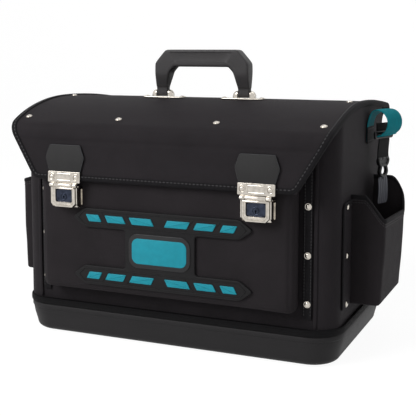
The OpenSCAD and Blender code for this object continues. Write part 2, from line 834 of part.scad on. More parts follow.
module strike_plate() {
    color("#cfc8bd") difference() {
        union() {
            translate([lock_half, 0, 0]) on_flap() {
                translate([-strike_w / 2, strike_low, strike_base]) cube([strike_w, strike_h, sheet_t]);
                for (s = [-1, 1])
                    translate([s * outer_knuckle_x - tongue_w / 2, -bar_drop + bar_r / 2, strike_base])
                        cube([tongue_w, bar_drop, sheet_t]);
            }
            for (s = [-1, 1])
                at_bar() translate([s * outer_knuckle_x - (outer_knuckle_w - fit_gap) / 2, 0, 0])
                    rotate([0, 90, 0]) cylinder(h = outer_knuckle_w - fit_gap, r = bar_r);
        }
        strike_rivet_places() shank_hole(sheet_t + cut_over);
        at_bar() translate([-bar_len, 0, 0]) rotate([0, 90, 0])
            cylinder(h = 2 * bar_len, r = bar_pin_r + run_gap);
    }
}

module strike_rivets() {
    color("#d6d0c6") both_sides() strike_rivet_places()
        rivet(strike_rivet_r, strike_rivet_h, strike_grip);
}

module hasp_pins() {
    color("#a9a9a9") both_sides() at_bar() translate([-bar_len / 2, 0, 0])
        rotate([0, 90, 0]) cylinder(h = bar_len, r = bar_pin_r);
}

// Hasp, hanging from the rolled bar, drawn on the right
module hasp_outline(half, low, bevel) {
    polygon([[-half, -hasp_top], [half, -hasp_top], [half, -low + bevel], [half - bevel, -low],
        [-half + bevel, -low], [-half, -low + bevel]]);
}

module key_window(gap) {
    half = hasp_w / 2 - frame_w - gap;
    low = hasp_h - frame_foot - gap;
    polygon([[-half, -key_plate_top - gap], [half, -key_plate_top - gap], [half, -low], [-half, -low]]);
}

module hasp_frame() {
    color("#d2ccc2") at_bar() difference() {
        union() {
            translate([0, -hasp_front, 0]) to_back(hasp_d) difference() {
                hasp_outline(hasp_w / 2, hasp_h, hasp_bevel);
                key_window(0);
            }
            translate([-knuckle_half + fit_gap, 0, 0]) rotate([0, 90, 0])
                cylinder(h = 2 * (knuckle_half - fit_gap), r = bar_r);
            translate([-knuckle_half + fit_gap, -hasp_front, -hasp_top - fit_gap])
                cube([2 * (knuckle_half - fit_gap), 2 * hasp_front, hasp_top]);
        }
        translate([-bar_len, 0, 0]) rotate([0, 90, 0])
            cylinder(h = 2 * bar_len, r = bar_pin_r + run_gap);
    }
}

module key_plate() {
    color("#303439") at_bar() translate([0, hasp_front, 0]) to_back(key_plate_t) difference() {
        key_window(run_gap);
        translate([0, -plug_drop]) circle(plug_r + run_gap);
    }
}

module key_plug() {
    color("#3a3d41") at_bar() translate([0, hasp_front - fit_gap, -plug_drop]) difference() {
        to_back(hasp_d - 2 * hasp_front) circle(plug_r);
        translate([0, -cut_over, 0]) to_back(2 * cut_over) {
            circle(keyhole_r);
            translate([-keyhole_r / 2, -keyhole_len]) square([keyhole_r, keyhole_len]);
        }
    }
}

// Lock base on the panel: a plate, two hooked side plates and the keeper behind the hasp
module lock_base() {
    reach = bar_y + hasp_front;
    ear_low = bar_z - hasp_h;
    ear_top = bar_z - hasp_top - fit_gap;
    hook_y = bar_y + ear_hook;
    keeper_y = bar_y + hasp_d + hasp_front;
    color("#bdb8b0") {
        translate([lock_half, panel_face_y - sheet_t, bar_z]) to_back(sheet_t)
            hasp_outline(base_plate_w / 2, hasp_h + sheet_t, hasp_bevel);
        for (s = [-1, 1])
            translate([lock_half + s * (ear_plate_x + sheet_t / 2), 0, 0]) along_x(sheet_t)
                polygon([[panel_face_y, ear_low], [reach + hasp_bevel, ear_low],
                    [reach, ear_low + hasp_bevel], [reach, ear_top], [hook_y, ear_top],
                    [hook_y, bar_z + bar_r / 2], [hook_y + ear_hook, bar_z + bar_r / 2],
                    [hook_y + ear_hook, ear_top - bar_r], [panel_face_y, ear_top - bar_r]]);
        translate([lock_half - keeper_w / 2, keeper_y, bar_z - plug_drop - keeper_h / 2])
            cube([keeper_w, panel_face_y - keeper_y, keeper_h]);
    }
}

// Handle plates, pins and grip
module handle_plate() {
    color("#c9c7c2") difference() {
        union() {
            translate([plate_x - plate_len / 2, pivot_y - plate_d / 2, ridge_z + fit_gap])
                cube([plate_len, plate_d, plate_t]);
            for (s = [-1, 1])
                translate([leg_x + s * (leg_w / 2 + ear_gap + ear_w / 2) - ear_w / 2, pivot_y, pivot_z]) {
                    rotate([0, 90, 0]) cylinder(h = ear_w, r = eye_r);
                    translate([0, -eye_r, fit_gap - pivot_h]) cube([ear_w, 2 * eye_r, pivot_h - fit_gap]);
                }
        }
        translate([0, pivot_y, pivot_z]) rotate([0, 90, 0])
            cylinder(h = handle_w, r = handle_pin_r + run_gap);
        plate_rivet_places() translate([0, 0, plate_t + fit_gap]) shank_hole(plate_t + cut_over);
    }
}

module handle_pins() {
    pin_len = leg_w + 2 * (ear_gap + ear_w);
    color("#b9b7b2") both_sides() translate([leg_x - pin_len / 2, pivot_y, pivot_z])
        rotate([0, 90, 0]) cylinder(h = pin_len, r = handle_pin_r);
}

module handle_grip() {
    half = handle_w / 2;
    inner = half - leg_w;
    low = handle_h - grip_t;
    shoulder = handle_h - handle_bevel * bevel_rise_share;
    inner_bevel = handle_bevel * inner_bevel_share;
    leg_top = low - inner_bevel * leg_rise_share;
    waist = eye_r * 2;
    swell = low * swell_share;
    round_off = grip_d * round_off_share;
    color("#1c1c1e") translate([0, pivot_y, pivot_z]) difference() {
        union() {
            intersection() {
                translate([0, -grip_d / 2, 0]) to_back(grip_d) polygon([
                    [-half, 0], [-half, shoulder], [-half + handle_bevel, handle_h],
                    [half - handle_bevel, handle_h], [half, shoulder], [half, 0],
                    [inner, 0], [inner, waist], [inner - inner_bevel * leg_flare_share, leg_top],
                    [inner - inner_bevel * top_flare_share, low],
                    [-inner + inner_bevel * top_flare_share, low],
                    [-inner + inner_bevel * leg_flare_share, leg_top], [-inner, waist], [-inner, 0]]);
                along_x(handle_w) polygon([
                    [-eye_r, 0], [-eye_r, waist], [-grip_d / 2, swell], [-grip_d / 2, handle_h - round_off],
                    [-grip_d / 2 + round_off, handle_h], [grip_d / 2 - round_off, handle_h],
                    [grip_d / 2, handle_h - round_off], [grip_d / 2, swell], [eye_r, waist], [eye_r, 0]]);
            }
            for (s = [-1, 1]) translate([s * leg_x - leg_w / 2, 0, 0])
                rotate([0, 90, 0]) cylinder(h = leg_w, r = eye_r);
        }
        translate([-handle_w, 0, 0]) rotate([0, 90, 0])
            cylinder(h = 2 * handle_w, r = handle_pin_r + run_gap);
    }
}

base_tray();
base_band();
floor_board();
front_wall();
back_wall();
mirror([1, 0, 0]) side_wall();  // side_wall_left
side_wall();  // side_wall_right
front_panel();
badge_backing();
badge_inlays();
badge_plaque();
mirror([1, 0, 0]) front_strip();  // front_strip_left
front_strip();  // front_strip_right
front_rivets();
mirror([1, 0, 0]) pocket();  // pocket_left
pocket();  // pocket_right
mirror([1, 0, 0]) pocket_flanges();  // pocket_flanges_left
pocket_flanges();  // pocket_flanges_right
pocket_rivets();
mirror([1, 0, 0]) lock_base();  // lock_base_left
lock_base();  // lock_base_right
hinge_welt();
strap_loop();
strap_slider();
strap_tail();
snap_hook();
hang_tag();
lid_panel();
lid_binding();
lid_front_bar();
lid_handle_rail();
lid_rivets();
mirror([1, 0, 0]) leather_tab();  // leather_tab_left
leather_tab();  // leather_tab_right
mirror([1, 0, 0]) strike_plate();  // strike_plate_left
strike_plate();  // strike_plate_right
strike_rivets();
hasp_pins();
mirror([1, 0, 0]) handle_plate();  // handle_plate_left
handle_plate();  // handle_plate_right
handle_pins();
handle_grip();
mirror([1, 0, 0]) hasp_frame();  // hasp_frame_left
hasp_frame();  // hasp_frame_right
mirror([1, 0, 0]) key_plate();  // key_plate_left
key_plate();  // key_plate_right
mirror([1, 0, 0]) key_plug();  // key_plug_left
key_plug();  // key_plug_right
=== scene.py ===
"""Looks of a technician's tool bag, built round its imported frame.

X runs to the bag's right as seen from the front, Y to its back and Z up. Shapes are in millimetres, and
piece() turns them into metres. Camera, lights and textures are in metres.
"""
import math
from collections import namedtuple
from itertools import product

import bmesh
import bpy
import numpy as np
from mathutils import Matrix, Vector, noise


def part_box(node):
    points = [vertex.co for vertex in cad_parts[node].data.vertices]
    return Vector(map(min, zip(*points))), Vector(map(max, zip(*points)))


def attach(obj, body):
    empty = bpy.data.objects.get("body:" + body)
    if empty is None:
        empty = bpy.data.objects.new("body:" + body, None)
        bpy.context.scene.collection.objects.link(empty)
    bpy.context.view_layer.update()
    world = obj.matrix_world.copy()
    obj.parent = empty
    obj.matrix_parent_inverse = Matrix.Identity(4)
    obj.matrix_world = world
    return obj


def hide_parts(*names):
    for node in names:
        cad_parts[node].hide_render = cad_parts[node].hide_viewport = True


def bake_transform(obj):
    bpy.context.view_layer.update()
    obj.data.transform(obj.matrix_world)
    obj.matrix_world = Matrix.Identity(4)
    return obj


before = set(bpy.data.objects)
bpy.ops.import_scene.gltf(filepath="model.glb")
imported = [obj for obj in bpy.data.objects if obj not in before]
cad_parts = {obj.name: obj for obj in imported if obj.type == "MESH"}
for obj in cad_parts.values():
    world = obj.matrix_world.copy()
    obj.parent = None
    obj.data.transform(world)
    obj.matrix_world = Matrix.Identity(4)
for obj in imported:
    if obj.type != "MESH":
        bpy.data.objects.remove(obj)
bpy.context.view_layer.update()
MM = 0.001
SIGNS = (-1, 1)
SIDES = ((1, "right"), (-1, "left"))
FRONT, UP = (0, -1, 0), (0, 0, 1)

# Camera at the photograph's viewing angle
CAMERA_PLACE = (0.5359, -1.2703, 0.4206)
CAMERA_PITCH, CAMERA_ROLL, CAMERA_YAW = (math.radians(a) for a in (6.825, 0.073, 23.657))
CAMERA_LENS = 80.19
CAMERA_SHIFT = (0.0312, -0.1274)


Place = namedtuple("Place", "x y z")


def box(name):
    """The low and the high corner of a CAD node."""
    return [Place(*(c / MM for c in p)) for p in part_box(name)]


def middle(name):
    return Place(*((a + b) / 2 for a, b in zip(*box(name))))


# Places and sizes of the frame that the soft pieces follow
TRAY_HIGH = box("base_tray")[1]
TRAY_R = 46
BAND_LOW, BAND_HIGH = box("base_band")
WALL_LOW, WALL_HIGH = box("side_wall_right")
BODY_X, BODY_Y = WALL_HIGH.x, WALL_HIGH.y
WALL_R, WALL_T = 26, 4
PANEL_LOW, PANEL_HIGH = box("front_panel")
PANEL_Z = (PANEL_LOW.z + PANEL_HIGH.z) / 2
PANEL_HALF_W, PANEL_HALF_H = (PANEL_HIGH.x - PANEL_LOW.x) / 2, (PANEL_HIGH.z - PANEL_LOW.z) / 2
PANEL_OVER = 3.8
STRIP_LOW, STRIP_HIGH = box("front_strip_right")
STRIP_X = (STRIP_LOW.x + STRIP_HIGH.x) / 2
STRIP_RIVETS_Z = (83.9, 148.5, 213.0)
FLANGE_RIVET_Y, FLANGE_RIVET_Z, FLANGE_RIVET_STEP = 88.3, 142, 65.32
HEAD_R, HEAD_H = 4.6, 2.2
LID_HALF = box("lid_binding")[1].x
LID_T, LID_GAP = 5, 0.6
RIDGE_Y, RIDGE_Z = -17, 341
BEND_Y, BEND_FALL, BEND_R = PANEL_LOW.y + 8, 28.5, 24
FLAP_LEAN, FLAP_LEN, FLAP_TAPER = math.radians(3), 59, 47
TAPER_LEN, TAPER_SOFT = 78, 0.3
BINDING_RAISE = 1.3
WELT_LOW, WELT_HIGH = box("hinge_welt")
WELT_R = (WELT_HIGH.z - WELT_LOW.z) / 2
HINGE_Y, HINGE_Z = (WELT_LOW.y + WELT_HIGH.y) / 2, (WELT_LOW.z + WELT_HIGH.z) / 2
WRAP_R = WELT_R + 0.3 + LID_T
FLAP_OUT = Vector((0, -math.cos(FLAP_LEAN), math.sin(FLAP_LEAN)))

# Lid profile: two arcs that share the ridge, a bend at the front and a wrap round the welt
FRONT_R = ((RIDGE_Y - BEND_Y) ** 2 + BEND_FALL**2) / (2 * BEND_FALL)
BEND_A = math.asin((RIDGE_Y - BEND_Y) / FRONT_R)
BEND_C = (RIDGE_Y - (FRONT_R - BEND_R) * math.sin(BEND_A),
          RIDGE_Z - FRONT_R + (FRONT_R - BEND_R) * math.cos(BEND_A))
BACK_DY, BACK_DZ = HINGE_Y - RIDGE_Y, HINGE_Z - RIDGE_Z
BACK_R = (WRAP_R**2 - BACK_DY**2 - BACK_DZ**2) / (2 * (BACK_DZ + WRAP_R))
WRAP_A = math.atan2(BACK_DY, BACK_DZ + BACK_R)
FLAP_A = math.pi / 2 - FLAP_LEAN
FLAP_TOP = (BEND_C[0] - BEND_R * math.sin(FLAP_A), BEND_C[1] + BEND_R * math.cos(FLAP_A))
FLAP_FOOT = (FLAP_TOP[0] - FLAP_LEN * math.sin(FLAP_LEAN), FLAP_TOP[1] - FLAP_LEN * math.cos(FLAP_LEAN))


def lid_sections():
    """The profile as (length, function of the share along it that gives y, z and the normal's tilt)."""
    def straight(t):
        return (*(a + (b - a) * t for a, b in zip(FLAP_FOOT, FLAP_TOP)), FLAP_A)

    def arc(cy, cz, r, a0, a1):
        def at(t):
            a = a0 + (a1 - a0) * t
            return cy - r * math.sin(a), cz + r * math.cos(a), a
        return r * abs(a1 - a0), at
    return [(FLAP_LEN, straight),
            arc(*BEND_C, BEND_R, FLAP_A, BEND_A),
            arc(RIDGE_Y, RIDGE_Z - FRONT_R, FRONT_R, BEND_A, 0),
            arc(RIDGE_Y, RIDGE_Z - BACK_R, BACK_R, 0, -WRAP_A),
            arc(HINGE_Y, HINGE_Z, WRAP_R, -WRAP_A, -math.pi / 2)]


SECTIONS = lid_sections()
LID_LEN = sum(s[0] for s in SECTIONS)


def lid_at(v, depth=0.0):
    """Place (y, z) and outward normal (y, z) on the lid, v up from the flap's edge, depth below its face."""
    for i, (length, at) in enumerate(SECTIONS):
        if v <= length or i == len(SECTIONS) - 1:
            y, z, a = at(max(v, 0.0) / length if i else v / length)
            n = (-math.sin(a), math.cos(a))
            return y - depth * n[0], z - depth * n[1], n
        v -= length


def clamp(t):
    return min(max(t, 0.0), 1.0)


def smoothstep(t):
    t = clamp(t)
    return t * t * (3 - 2 * t)


def lid_half(v):
    """Half the lid's width, v up from the flap's edge. The taper rounds into the full width."""
    y, z, _ = lid_at(v)
    up = (z - FLAP_FOOT[1]) / TAPER_LEN if y < RIDGE_Y else 2.0
    bend = clamp((up - 1 + TAPER_SOFT) / (2 * TAPER_SOFT))
    return LID_HALF - FLAP_TAPER * (1 - min(up - TAPER_SOFT * bend**2, 1.0))


def under_lid(y):
    """Height of the lid's underside at y, less the gap above the walls."""
    r = FRONT_R if y < RIDGE_Y else BACK_R
    return RIDGE_Z - r + math.sqrt((r - LID_T - LID_GAP) ** 2 - (y - RIDGE_Y) ** 2)


def soft(x, y, z, size, seed=0.0):
    """Smooth unevenness from -1 to 1 that repeats over about size."""
    return noise.noise(Vector((x / size + seed, y / size - seed, z / size + 3.1 * seed)))


# Materials
def node(tree, kind, **values):
    made = tree.nodes.new(kind)
    for key, value in values.items():
        if key in made.inputs:
            made.inputs[key].default_value = value
        else:
            setattr(made, key, value)
    return made


def math_node(tree, operation, *values):
    """A math node's result. Its inputs are plain numbers or other nodes' sockets."""
    made = node(tree, "ShaderNodeMath", operation=operation)
    for socket, value in zip(made.inputs, values):
        if isinstance(value, (int, float)):
            socket.default_value = value
        else:
            tree.links.new(value, socket)
    return made.outputs[0]


def axes(tree, vector):
    split = node(tree, "ShaderNodeSeparateXYZ")
    tree.links.new(vector, split.inputs[0])
    return split.outputs


def weave_height(tree, coord, pitch):
    """Height of a plain weave of that pitch on a face of any direction."""
    place, facing = axes(tree, coord.outputs["Object"]), axes(tree, coord.outputs["Normal"])
    wave = [math_node(tree, "SINE", math_node(tree, "MULTIPLY", place[i], math.pi / pitch)) for i in range(3)]
    share = [math_node(tree, "MULTIPLY", math_node(tree, "MULTIPLY", wave[i - 2], wave[i - 1]),
                       math_node(tree, "ABSOLUTE", facing[i])) for i in range(3)]
    return math_node(tree, "ADD", math_node(tree, "ADD", share[0], share[1]), share[2])


def bump_height(tree, coord, kind, size):
    """Height of a weave, of ribs across the axis that ends the kind, of grain or of cells."""
    if kind == "WEAVE":
        return weave_height(tree, coord, size)
    if kind.startswith("RIB"):
        along = axes(tree, coord.outputs["Object"])[kind[-1]]
        return math_node(tree, "SINE", math_node(tree, "MULTIPLY", along, 2 * math.pi / size))
    cells = kind == "VORONOI"
    made = (node(tree, "ShaderNodeTexVoronoi", Scale=1 / size) if cells
            else node(tree, "ShaderNodeTexNoise", Scale=1 / size, Detail=4.0, Roughness=0.6))
    tree.links.new(coord.outputs["Object"], made.inputs["Vector"])
    return math_node(tree, "MULTIPLY", made.outputs[0], -1.0) if cells else made.outputs[0]


def make_material(name, colour, rough, specular=0.5, spread=0.15, spot=0.03, rough_spread=0.06, metallic=0.0,
                  bumps=()):
    """A procedural material, uneven by spread over patches of size spot. bumps lists (kind, size, depth)."""
    mat = bpy.data.materials.new(name)
    mat.use_nodes = True
    tree = mat.node_tree
    shader = tree.nodes["Principled BSDF"]
    coord = node(tree, "ShaderNodeTexCoord")
    cloud = node(tree, "ShaderNodeTexNoise", Scale=1 / spot, Detail=5.0, Roughness=0.55)
    tree.links.new(coord.outputs["Object"], cloud.inputs["Vector"])
    ramp = node(tree, "ShaderNodeValToRGB")
    low, high = ramp.color_ramp.elements
    low.position, high.position = 0.3, 0.7
    low.color = (*[c * (1 - spread) for c in colour], 1)
    high.color = (*[min(c * (1 + spread), 1) for c in colour], 1)
    shine = node(tree, "ShaderNodeMapRange")
    shine.inputs["To Min"].default_value = max(rough - rough_spread, 0.02)
    shine.inputs["To Max"].default_value = min(rough + rough_spread, 1.0)
    for made, key in ((ramp, "Base Color"), (shine, "Roughness")):
        tree.links.new(cloud.outputs[0], made.inputs[0])
        tree.links.new(made.outputs[0], shader.inputs[key])
    shader.inputs["Metallic"].default_value = metallic
    shader.inputs["Specular IOR Level"].default_value = specular
    before = None
    for kind, size, depth in bumps:
        bump = node(tree, "ShaderNodeBump", Strength=1.0, Distance=depth)
        tree.links.new(bump_height(tree, coord, kind, size), bump.inputs["Height"])
        if before:
            tree.links.new(before, bump.inputs["Normal"])
        before = bump.outputs[0]
    if before:
        tree.links.new(before, shader.inputs["Normal"])
    return mat


CLOTH, WEB = ("WEAVE", 0.0007, 0.00012), ("WEAVE", 0.0012, 0.0002)
FABRIC = make_material("coated_fabric", (0.0205, 0.0178, 0.0200), 0.72, 0.10, 0.16, 0.05,
                       bumps=(("NOISE", 0.02, 0.0012), CLOTH))
PADDED = make_material("padded_fabric", (0.0215, 0.0185, 0.0205), 0.72, 0.10, 0.16, 0.06,
                       bumps=(("NOISE", 0.03, 0.0016), CLOTH))
LINING = make_material("lining", (0.018, 0.017, 0.019), 0.8, 0.3, spot=0.04,
                       bumps=(("WEAVE", 0.0006, 0.0001),))
TAPE = make_material("woven_tape", (0.0115, 0.0107, 0.0120), 0.75, 0.10, spot=0.012,
                     bumps=(("NOISE", 0.006, 0.0004), ("WEAVE", 0.0011, 0.0002)))
THREAD = make_material("thread", (0.026, 0.0245, 0.027), 0.55, spot=0.004, bumps=(("NOISE", 0.0008, 0.0001),))
TRAY = make_material("tray_plastic", (0.0205, 0.0195, 0.0205), 0.55, 0.16, 0.08, 0.06,
                     bumps=(("VORONOI", 0.0011, 0.00014), ("NOISE", 0.0016, 0.00012)))
BAND = make_material("ribbed_band", (0.0062, 0.0058, 0.0065), 0.7, 0.09, spot=0.01,
                     bumps=(("RIBZ", 0.0017, 0.0003), ("NOISE", 0.0012, 0.0002)))
BOARD = make_material("floor_board", (0.05, 0.05, 0.052), 0.7, spot=0.05, bumps=(("NOISE", 0.002, 0.0001),))
HANDLE = make_material("handle_plastic", (0.036, 0.0335, 0.035), 0.5, 0.3, 0.1, 0.02,
                       bumps=(("VORONOI", 0.0009, 0.0001), ("NOISE", 0.0013, 0.0001)))
LEATHER = make_material("smooth_leather", (0.026, 0.0255, 0.026), 0.55, 0.16, 0.08, 0.02,
                        bumps=(("VORONOI", 0.0008, 0.00006), ("NOISE", 0.004, 0.0001)))
CUT_EDGE = make_material("leather_edge", (0.075, 0.08, 0.085), 0.5, 0.3, spot=0.004,
                         bumps=(("NOISE", 0.001, 0.00008),))
RUBBER = make_material("moulded_rubber", (0.0135, 0.0130, 0.0138), 0.58, 0.14, spot=0.01,
                       bumps=(("NOISE", 0.0012, 0.0001),))
TEAL = make_material("teal_rubber", (0.012, 0.31, 0.40), 0.42, 0.25, 0.07, 0.01,
                     bumps=(("NOISE", 0.0012, 0.00006),))
PLAQUE = make_material("plaque_plastic", (0.016, 0.0162, 0.0175), 0.38, 0.3, 0.08, 0.02,
                       bumps=(("NOISE", 0.0015, 0.00004),))
NICKEL = make_material("nickel_plate", (0.56, 0.52, 0.465), 0.14, 0.5, 0.16, 0.005, 0.05, 1.0,
                       bumps=(("NOISE", 0.006, 0.00012),))
DARK_CHROME = make_material("dark_chrome", (0.036, 0.043, 0.064), 0.16, 0.5, 0.4, 0.006, metallic=1.0,
                            bumps=(("NOISE", 0.004, 0.00012),))
STEEL = make_material("pin_steel", (0.55, 0.55, 0.55), 0.28, 0.5, 0.05, 0.004, metallic=1.0,
                      bumps=(("NOISE", 0.001, 0.00002),))
ALUMINIUM = make_material("aluminium", (0.26, 0.265, 0.27), 0.5, 0.5, 0.05, 0.01, metallic=1.0,
                          bumps=(("NOISE", 0.001, 0.00003),))
TEAL_WEB = make_material("teal_webbing", (0.008, 0.30, 0.36), 0.7, 0.12, 0.1, 0.006,
                         bumps=(("RIBY", 0.0022, 0.00035), WEB))
BLACK_WEB = make_material("black_webbing", (0.0075, 0.0072, 0.0078), 0.7, 0.14, spot=0.006,
                          bumps=(("RIBY", 0.0022, 0.0003), WEB))
CLIP = make_material("clip_plastic", (0.0075, 0.0073, 0.0078), 0.38, 0.4, 0.1, 0.01,
                     bumps=(("NOISE", 0.001, 0.00005),))
TAG = make_material("tag_plastic", (0.036, 0.039, 0.055), 0.36, 0.25, 0.12, 0.01,
                    bumps=(("RIBY", 0.0045, 0.0002), ("NOISE", 0.003, 0.0001)))


# Mesh helpers. A part is a pair of points and faces
def piece(name, part, material, body, slot, *replaced, sharp=32):
    """A finished piece of the object from a part, riding on a body."""
    mesh = bpy.data.meshes.new(name)
    mesh.from_pydata([tuple(c * MM for c in v) for v in part[0]], [], [tuple(f) for f in part[1]])
    mesh.validate()
    bm = bmesh.new()
    bm.from_mesh(mesh)
    bmesh.ops.remove_doubles(bm, verts=bm.verts, dist=1e-6)
    bmesh.ops.recalc_face_normals(bm, faces=bm.faces)
    bm.to_mesh(mesh)
    bm.free()
    for face in mesh.polygons:
        face.use_smooth = True
    mesh.set_sharp_from_angle(angle=math.radians(sharp))
    mesh.materials.append(material)
    obj = bpy.data.objects.new(name, mesh)
    bpy.context.scene.collection.objects.link(obj)
    if body:
        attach(obj, body)
    if replaced:
        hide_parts(*replaced)
    return obj


def loft(rings, close_ring=True, close_loft=False, caps=False):
    """A surface through rings that have equal counts, with flat ends where caps is set."""
    n, count = len(rings[0]), len(rings)
    faces = []
    for i in range(count if close_loft else count - 1):
        a, b = i * n, ((i + 1) % count) * n
        for j in range(n if close_ring else n - 1):
            k = (j + 1) % n
            faces.append((a + j, a + k, b + k, b + j))
    if caps:
        faces += [tuple(reversed(range(n))), tuple(range((count - 1) * n, count * n))]
    return [p for ring in rings for p in ring], faces


def slab(outer, inner):
    """A closed sheet between two grids of points that have equal counts."""
    verts, faces = loft(outer + inner[::-1], close_ring=False, close_loft=True)
    m, n = len(outer), len(outer[0])
    faces += [(k * n + j, (k + 1) * n + j, (2 * m - 2 - k) * n + j, (2 * m - 1 - k) * n + j)
              for k in range(m - 1) for j in (0, n - 1)]
    return verts, faces


def joined(parts):
    """Several parts as one."""
    verts, faces = [], []
    for v, f in parts:
        base = len(verts)
        verts += list(v)
        faces += [tuple(i + base for i in face) for face in f]
    return verts, faces


def circle(count):
    """Cosine and sine of even steps round a full turn."""
    return [(math.cos(a), math.sin(a)) for a in (2 * math.pi * k / count for k in range(count))]


def quarter(steps, first=0, last=0):
    """Cosine and sine of even steps over a quarter turn, less that many at either end."""
    turns = (math.pi / 2 * k / steps for k in range(first, steps + 1 - last))
    return [(math.cos(a), math.sin(a)) for a in turns]


def squared(c, power):
    """A cosine or sine drawn towards its ends, which makes a circle squarer."""
    return math.copysign(abs(c) ** power, c)


def ellipse_profile(half_across, half_out, count=12, square=1.0):
    """A closed profile between an ellipse, square 1, and a rounded rectangle, square near 0.3."""
    return [(half_across * squared(c, square), half_out * squared(s, square)) for c, s in circle(count)]


def rounded_rect(half_w, half_d, r, per_corner=9):
    """Outline of a rectangle with round corners, counter-clockwise, from the front's middle."""
    points = []
    for cx, cy, a0 in ((1, -1, -90), (1, 1, 0), (-1, 1, 90), (-1, -1, 180)):
        for i in range(per_corner):
            a = math.radians(a0 + 90 * i / (per_corner - 1))
            points.append((cx * (half_w - r) + r * math.cos(a), cy * (half_d - r) + r * math.sin(a)))
    return points


def round_corners(points, r, steps=4):
    """A polygon's outline with each corner rounded, as long as the radius fits its edges."""
    out = []
    for i, point in enumerate(points):
        p = np.array(point, float)
        a, b = np.array(points[i - 1], float) - p, np.array(points[(i + 1) % len(points)], float) - p
        la, lb = np.linalg.norm(a), np.linalg.norm(b)
        cut = min(r, 0.45 * la, 0.45 * lb)
        out += [tuple(p + a / la * cut * (1 - t) ** 2 + b / lb * cut * t**2)
                for t in (k / steps for k in range(steps + 1))]
    return out


def rectangle(left, low, right, high, r=0, steps=4):
    """Outline of a rectangle by its sides, with round corners where r is given."""
    points = [(left, low), (right, low), (right, high), (left, high)]
    return round_corners(points, r, steps) if r else points


def inset(points, d):
    """A convex counter-clockwise polygon with every edge moved in by d."""
    n = len(points)
    out = []
    for i in range(n):
        p0, p1, p2 = (np.array(points[(i + k) % n], float) for k in (-1, 0, 1))
        e0, e1 = p1 - p0, p2 - p1
        n0 = np.array([-e0[1], e0[0]]) / np.linalg.norm(e0)
        n1 = np.array([-e1[1], e1[0]]) / np.linalg.norm(e1)
        m = n0 + n1
        out.append(tuple(p1 + m * d / max(m @ n0, 0.2)))
    return out


def plate(outline, low, high, place, bevel=0.4, steps=3):
    """A flat plate from an outline, its edges rounded on both faces; place maps (a, b, height) to a point."""
    edge = [(bevel * (1 - s), bevel * (1 - c)) for c, s in quarter(steps)]
    rings = [(d, low + h) for d, h in edge] + [(d, high - h) for d, h in edge[::-1]]
    return loft([[place(x, y, h) for x, y in inset(outline, d)] for d, h in rings], caps=True)


def sweep(path, normals, profile, closed=False):
    """A profile of (across, out) points along a path; out follows the normals."""
    pts = [np.array(p, float) for p in path]
    n = len(pts)
    rings = []
    for i in range(n):
        a = pts[i - 1] if closed or i else pts[0]
        b = pts[(i + 1) % n] if closed or i < n - 1 else pts[-1]
        t = (b - a) / np.linalg.norm(b - a)
        out = np.array(normals[i], float)
        out = out - t * (out @ t)
        out /= np.linalg.norm(out)
        side = np.cross(t, out)
        rings.append([tuple(pts[i] + side * p[0] + out * p[1]) for p in profile])
    return loft(rings, close_loft=closed, caps=not closed)


def beam(path, normal, *profile, closed=False):
    """A sweep whose normal stays the same, with the ellipse_profile given."""
    return sweep(path, [normal] * len(path), ellipse_profile(*profile), closed)


def tangent(points, i):
    return (points[min(i + 1, len(points) - 1)] - points[max(i - 1, 0)]).normalized()


def smooth_path(points, steps=6):
    """Catmull-Rom points through the given ones."""
    pts = [points[0]] + list(points) + [points[-1]]
    out = []
    for i in range(1, len(pts) - 2):
        p0, p1, p2, p3 = (np.array(p, float) for p in pts[i - 1:i + 3])
        for t in (k / steps for k in range(steps)):
            out.append(tuple(0.5 * (2 * p1 + (p2 - p0) * t + (2 * p0 - 5 * p1 + 4 * p2 - p3) * t**2
                                    + (3 * p1 - p0 - 3 * p2 + p3) * t**3)))
    out.append(tuple(points[-1]))
    return out


def stitches(path, normals, pitch=4.2, length=2.9, radius=0.38):
    """A row of thread stitches along a path, lying on the surface whose normals are given."""
    pts, ns = np.array(path, float), np.array(normals, float)
    total = np.concatenate([[0], np.cumsum(np.linalg.norm(np.diff(pts, axis=0), axis=1))])
    count = max(int(total[-1] / pitch), 1)
    where = (np.arange(count) + 0.5) * total[-1] / count

    def along(values, shift=0.0):
        return np.stack([np.interp(where + shift, total, values[:, k]) for k in range(3)], -1)
    parts = []
    for p, q, n in zip(along(pts), along(pts, length / 2), along(ns)):
        t = (q - p) / np.linalg.norm(q - p)
        n = n - t * (n @ t)
        n /= np.linalg.norm(n)
        side = np.cross(t, n)
        rings = []
        for share, fat in ((-0.5, 0.25), (-0.36, 0.85), (0.0, 1.0), (0.36, 0.85), (0.5, 0.25)):
            centre = p + t * length * share + n * radius * (0.35 * fat)
            rings.append([tuple(centre + (side * c * 1.25 + n * s) * radius * fat) for c, s in circle(6)])
        parts.append(loft(rings, caps=True))
    return joined(parts)


def seam(start, end, normal):
    """A straight row of stitches."""
    return stitches([start, end], [normal] * 2)


# Base
def level(high, d_x, d_y, r, z):
    """A level loop with round corners, inside the corner point high by d_x and d_y."""
    return [(x, y, z) for x, y in rounded_rect(high.x - d_x, high.y - d_y, r, 13)]


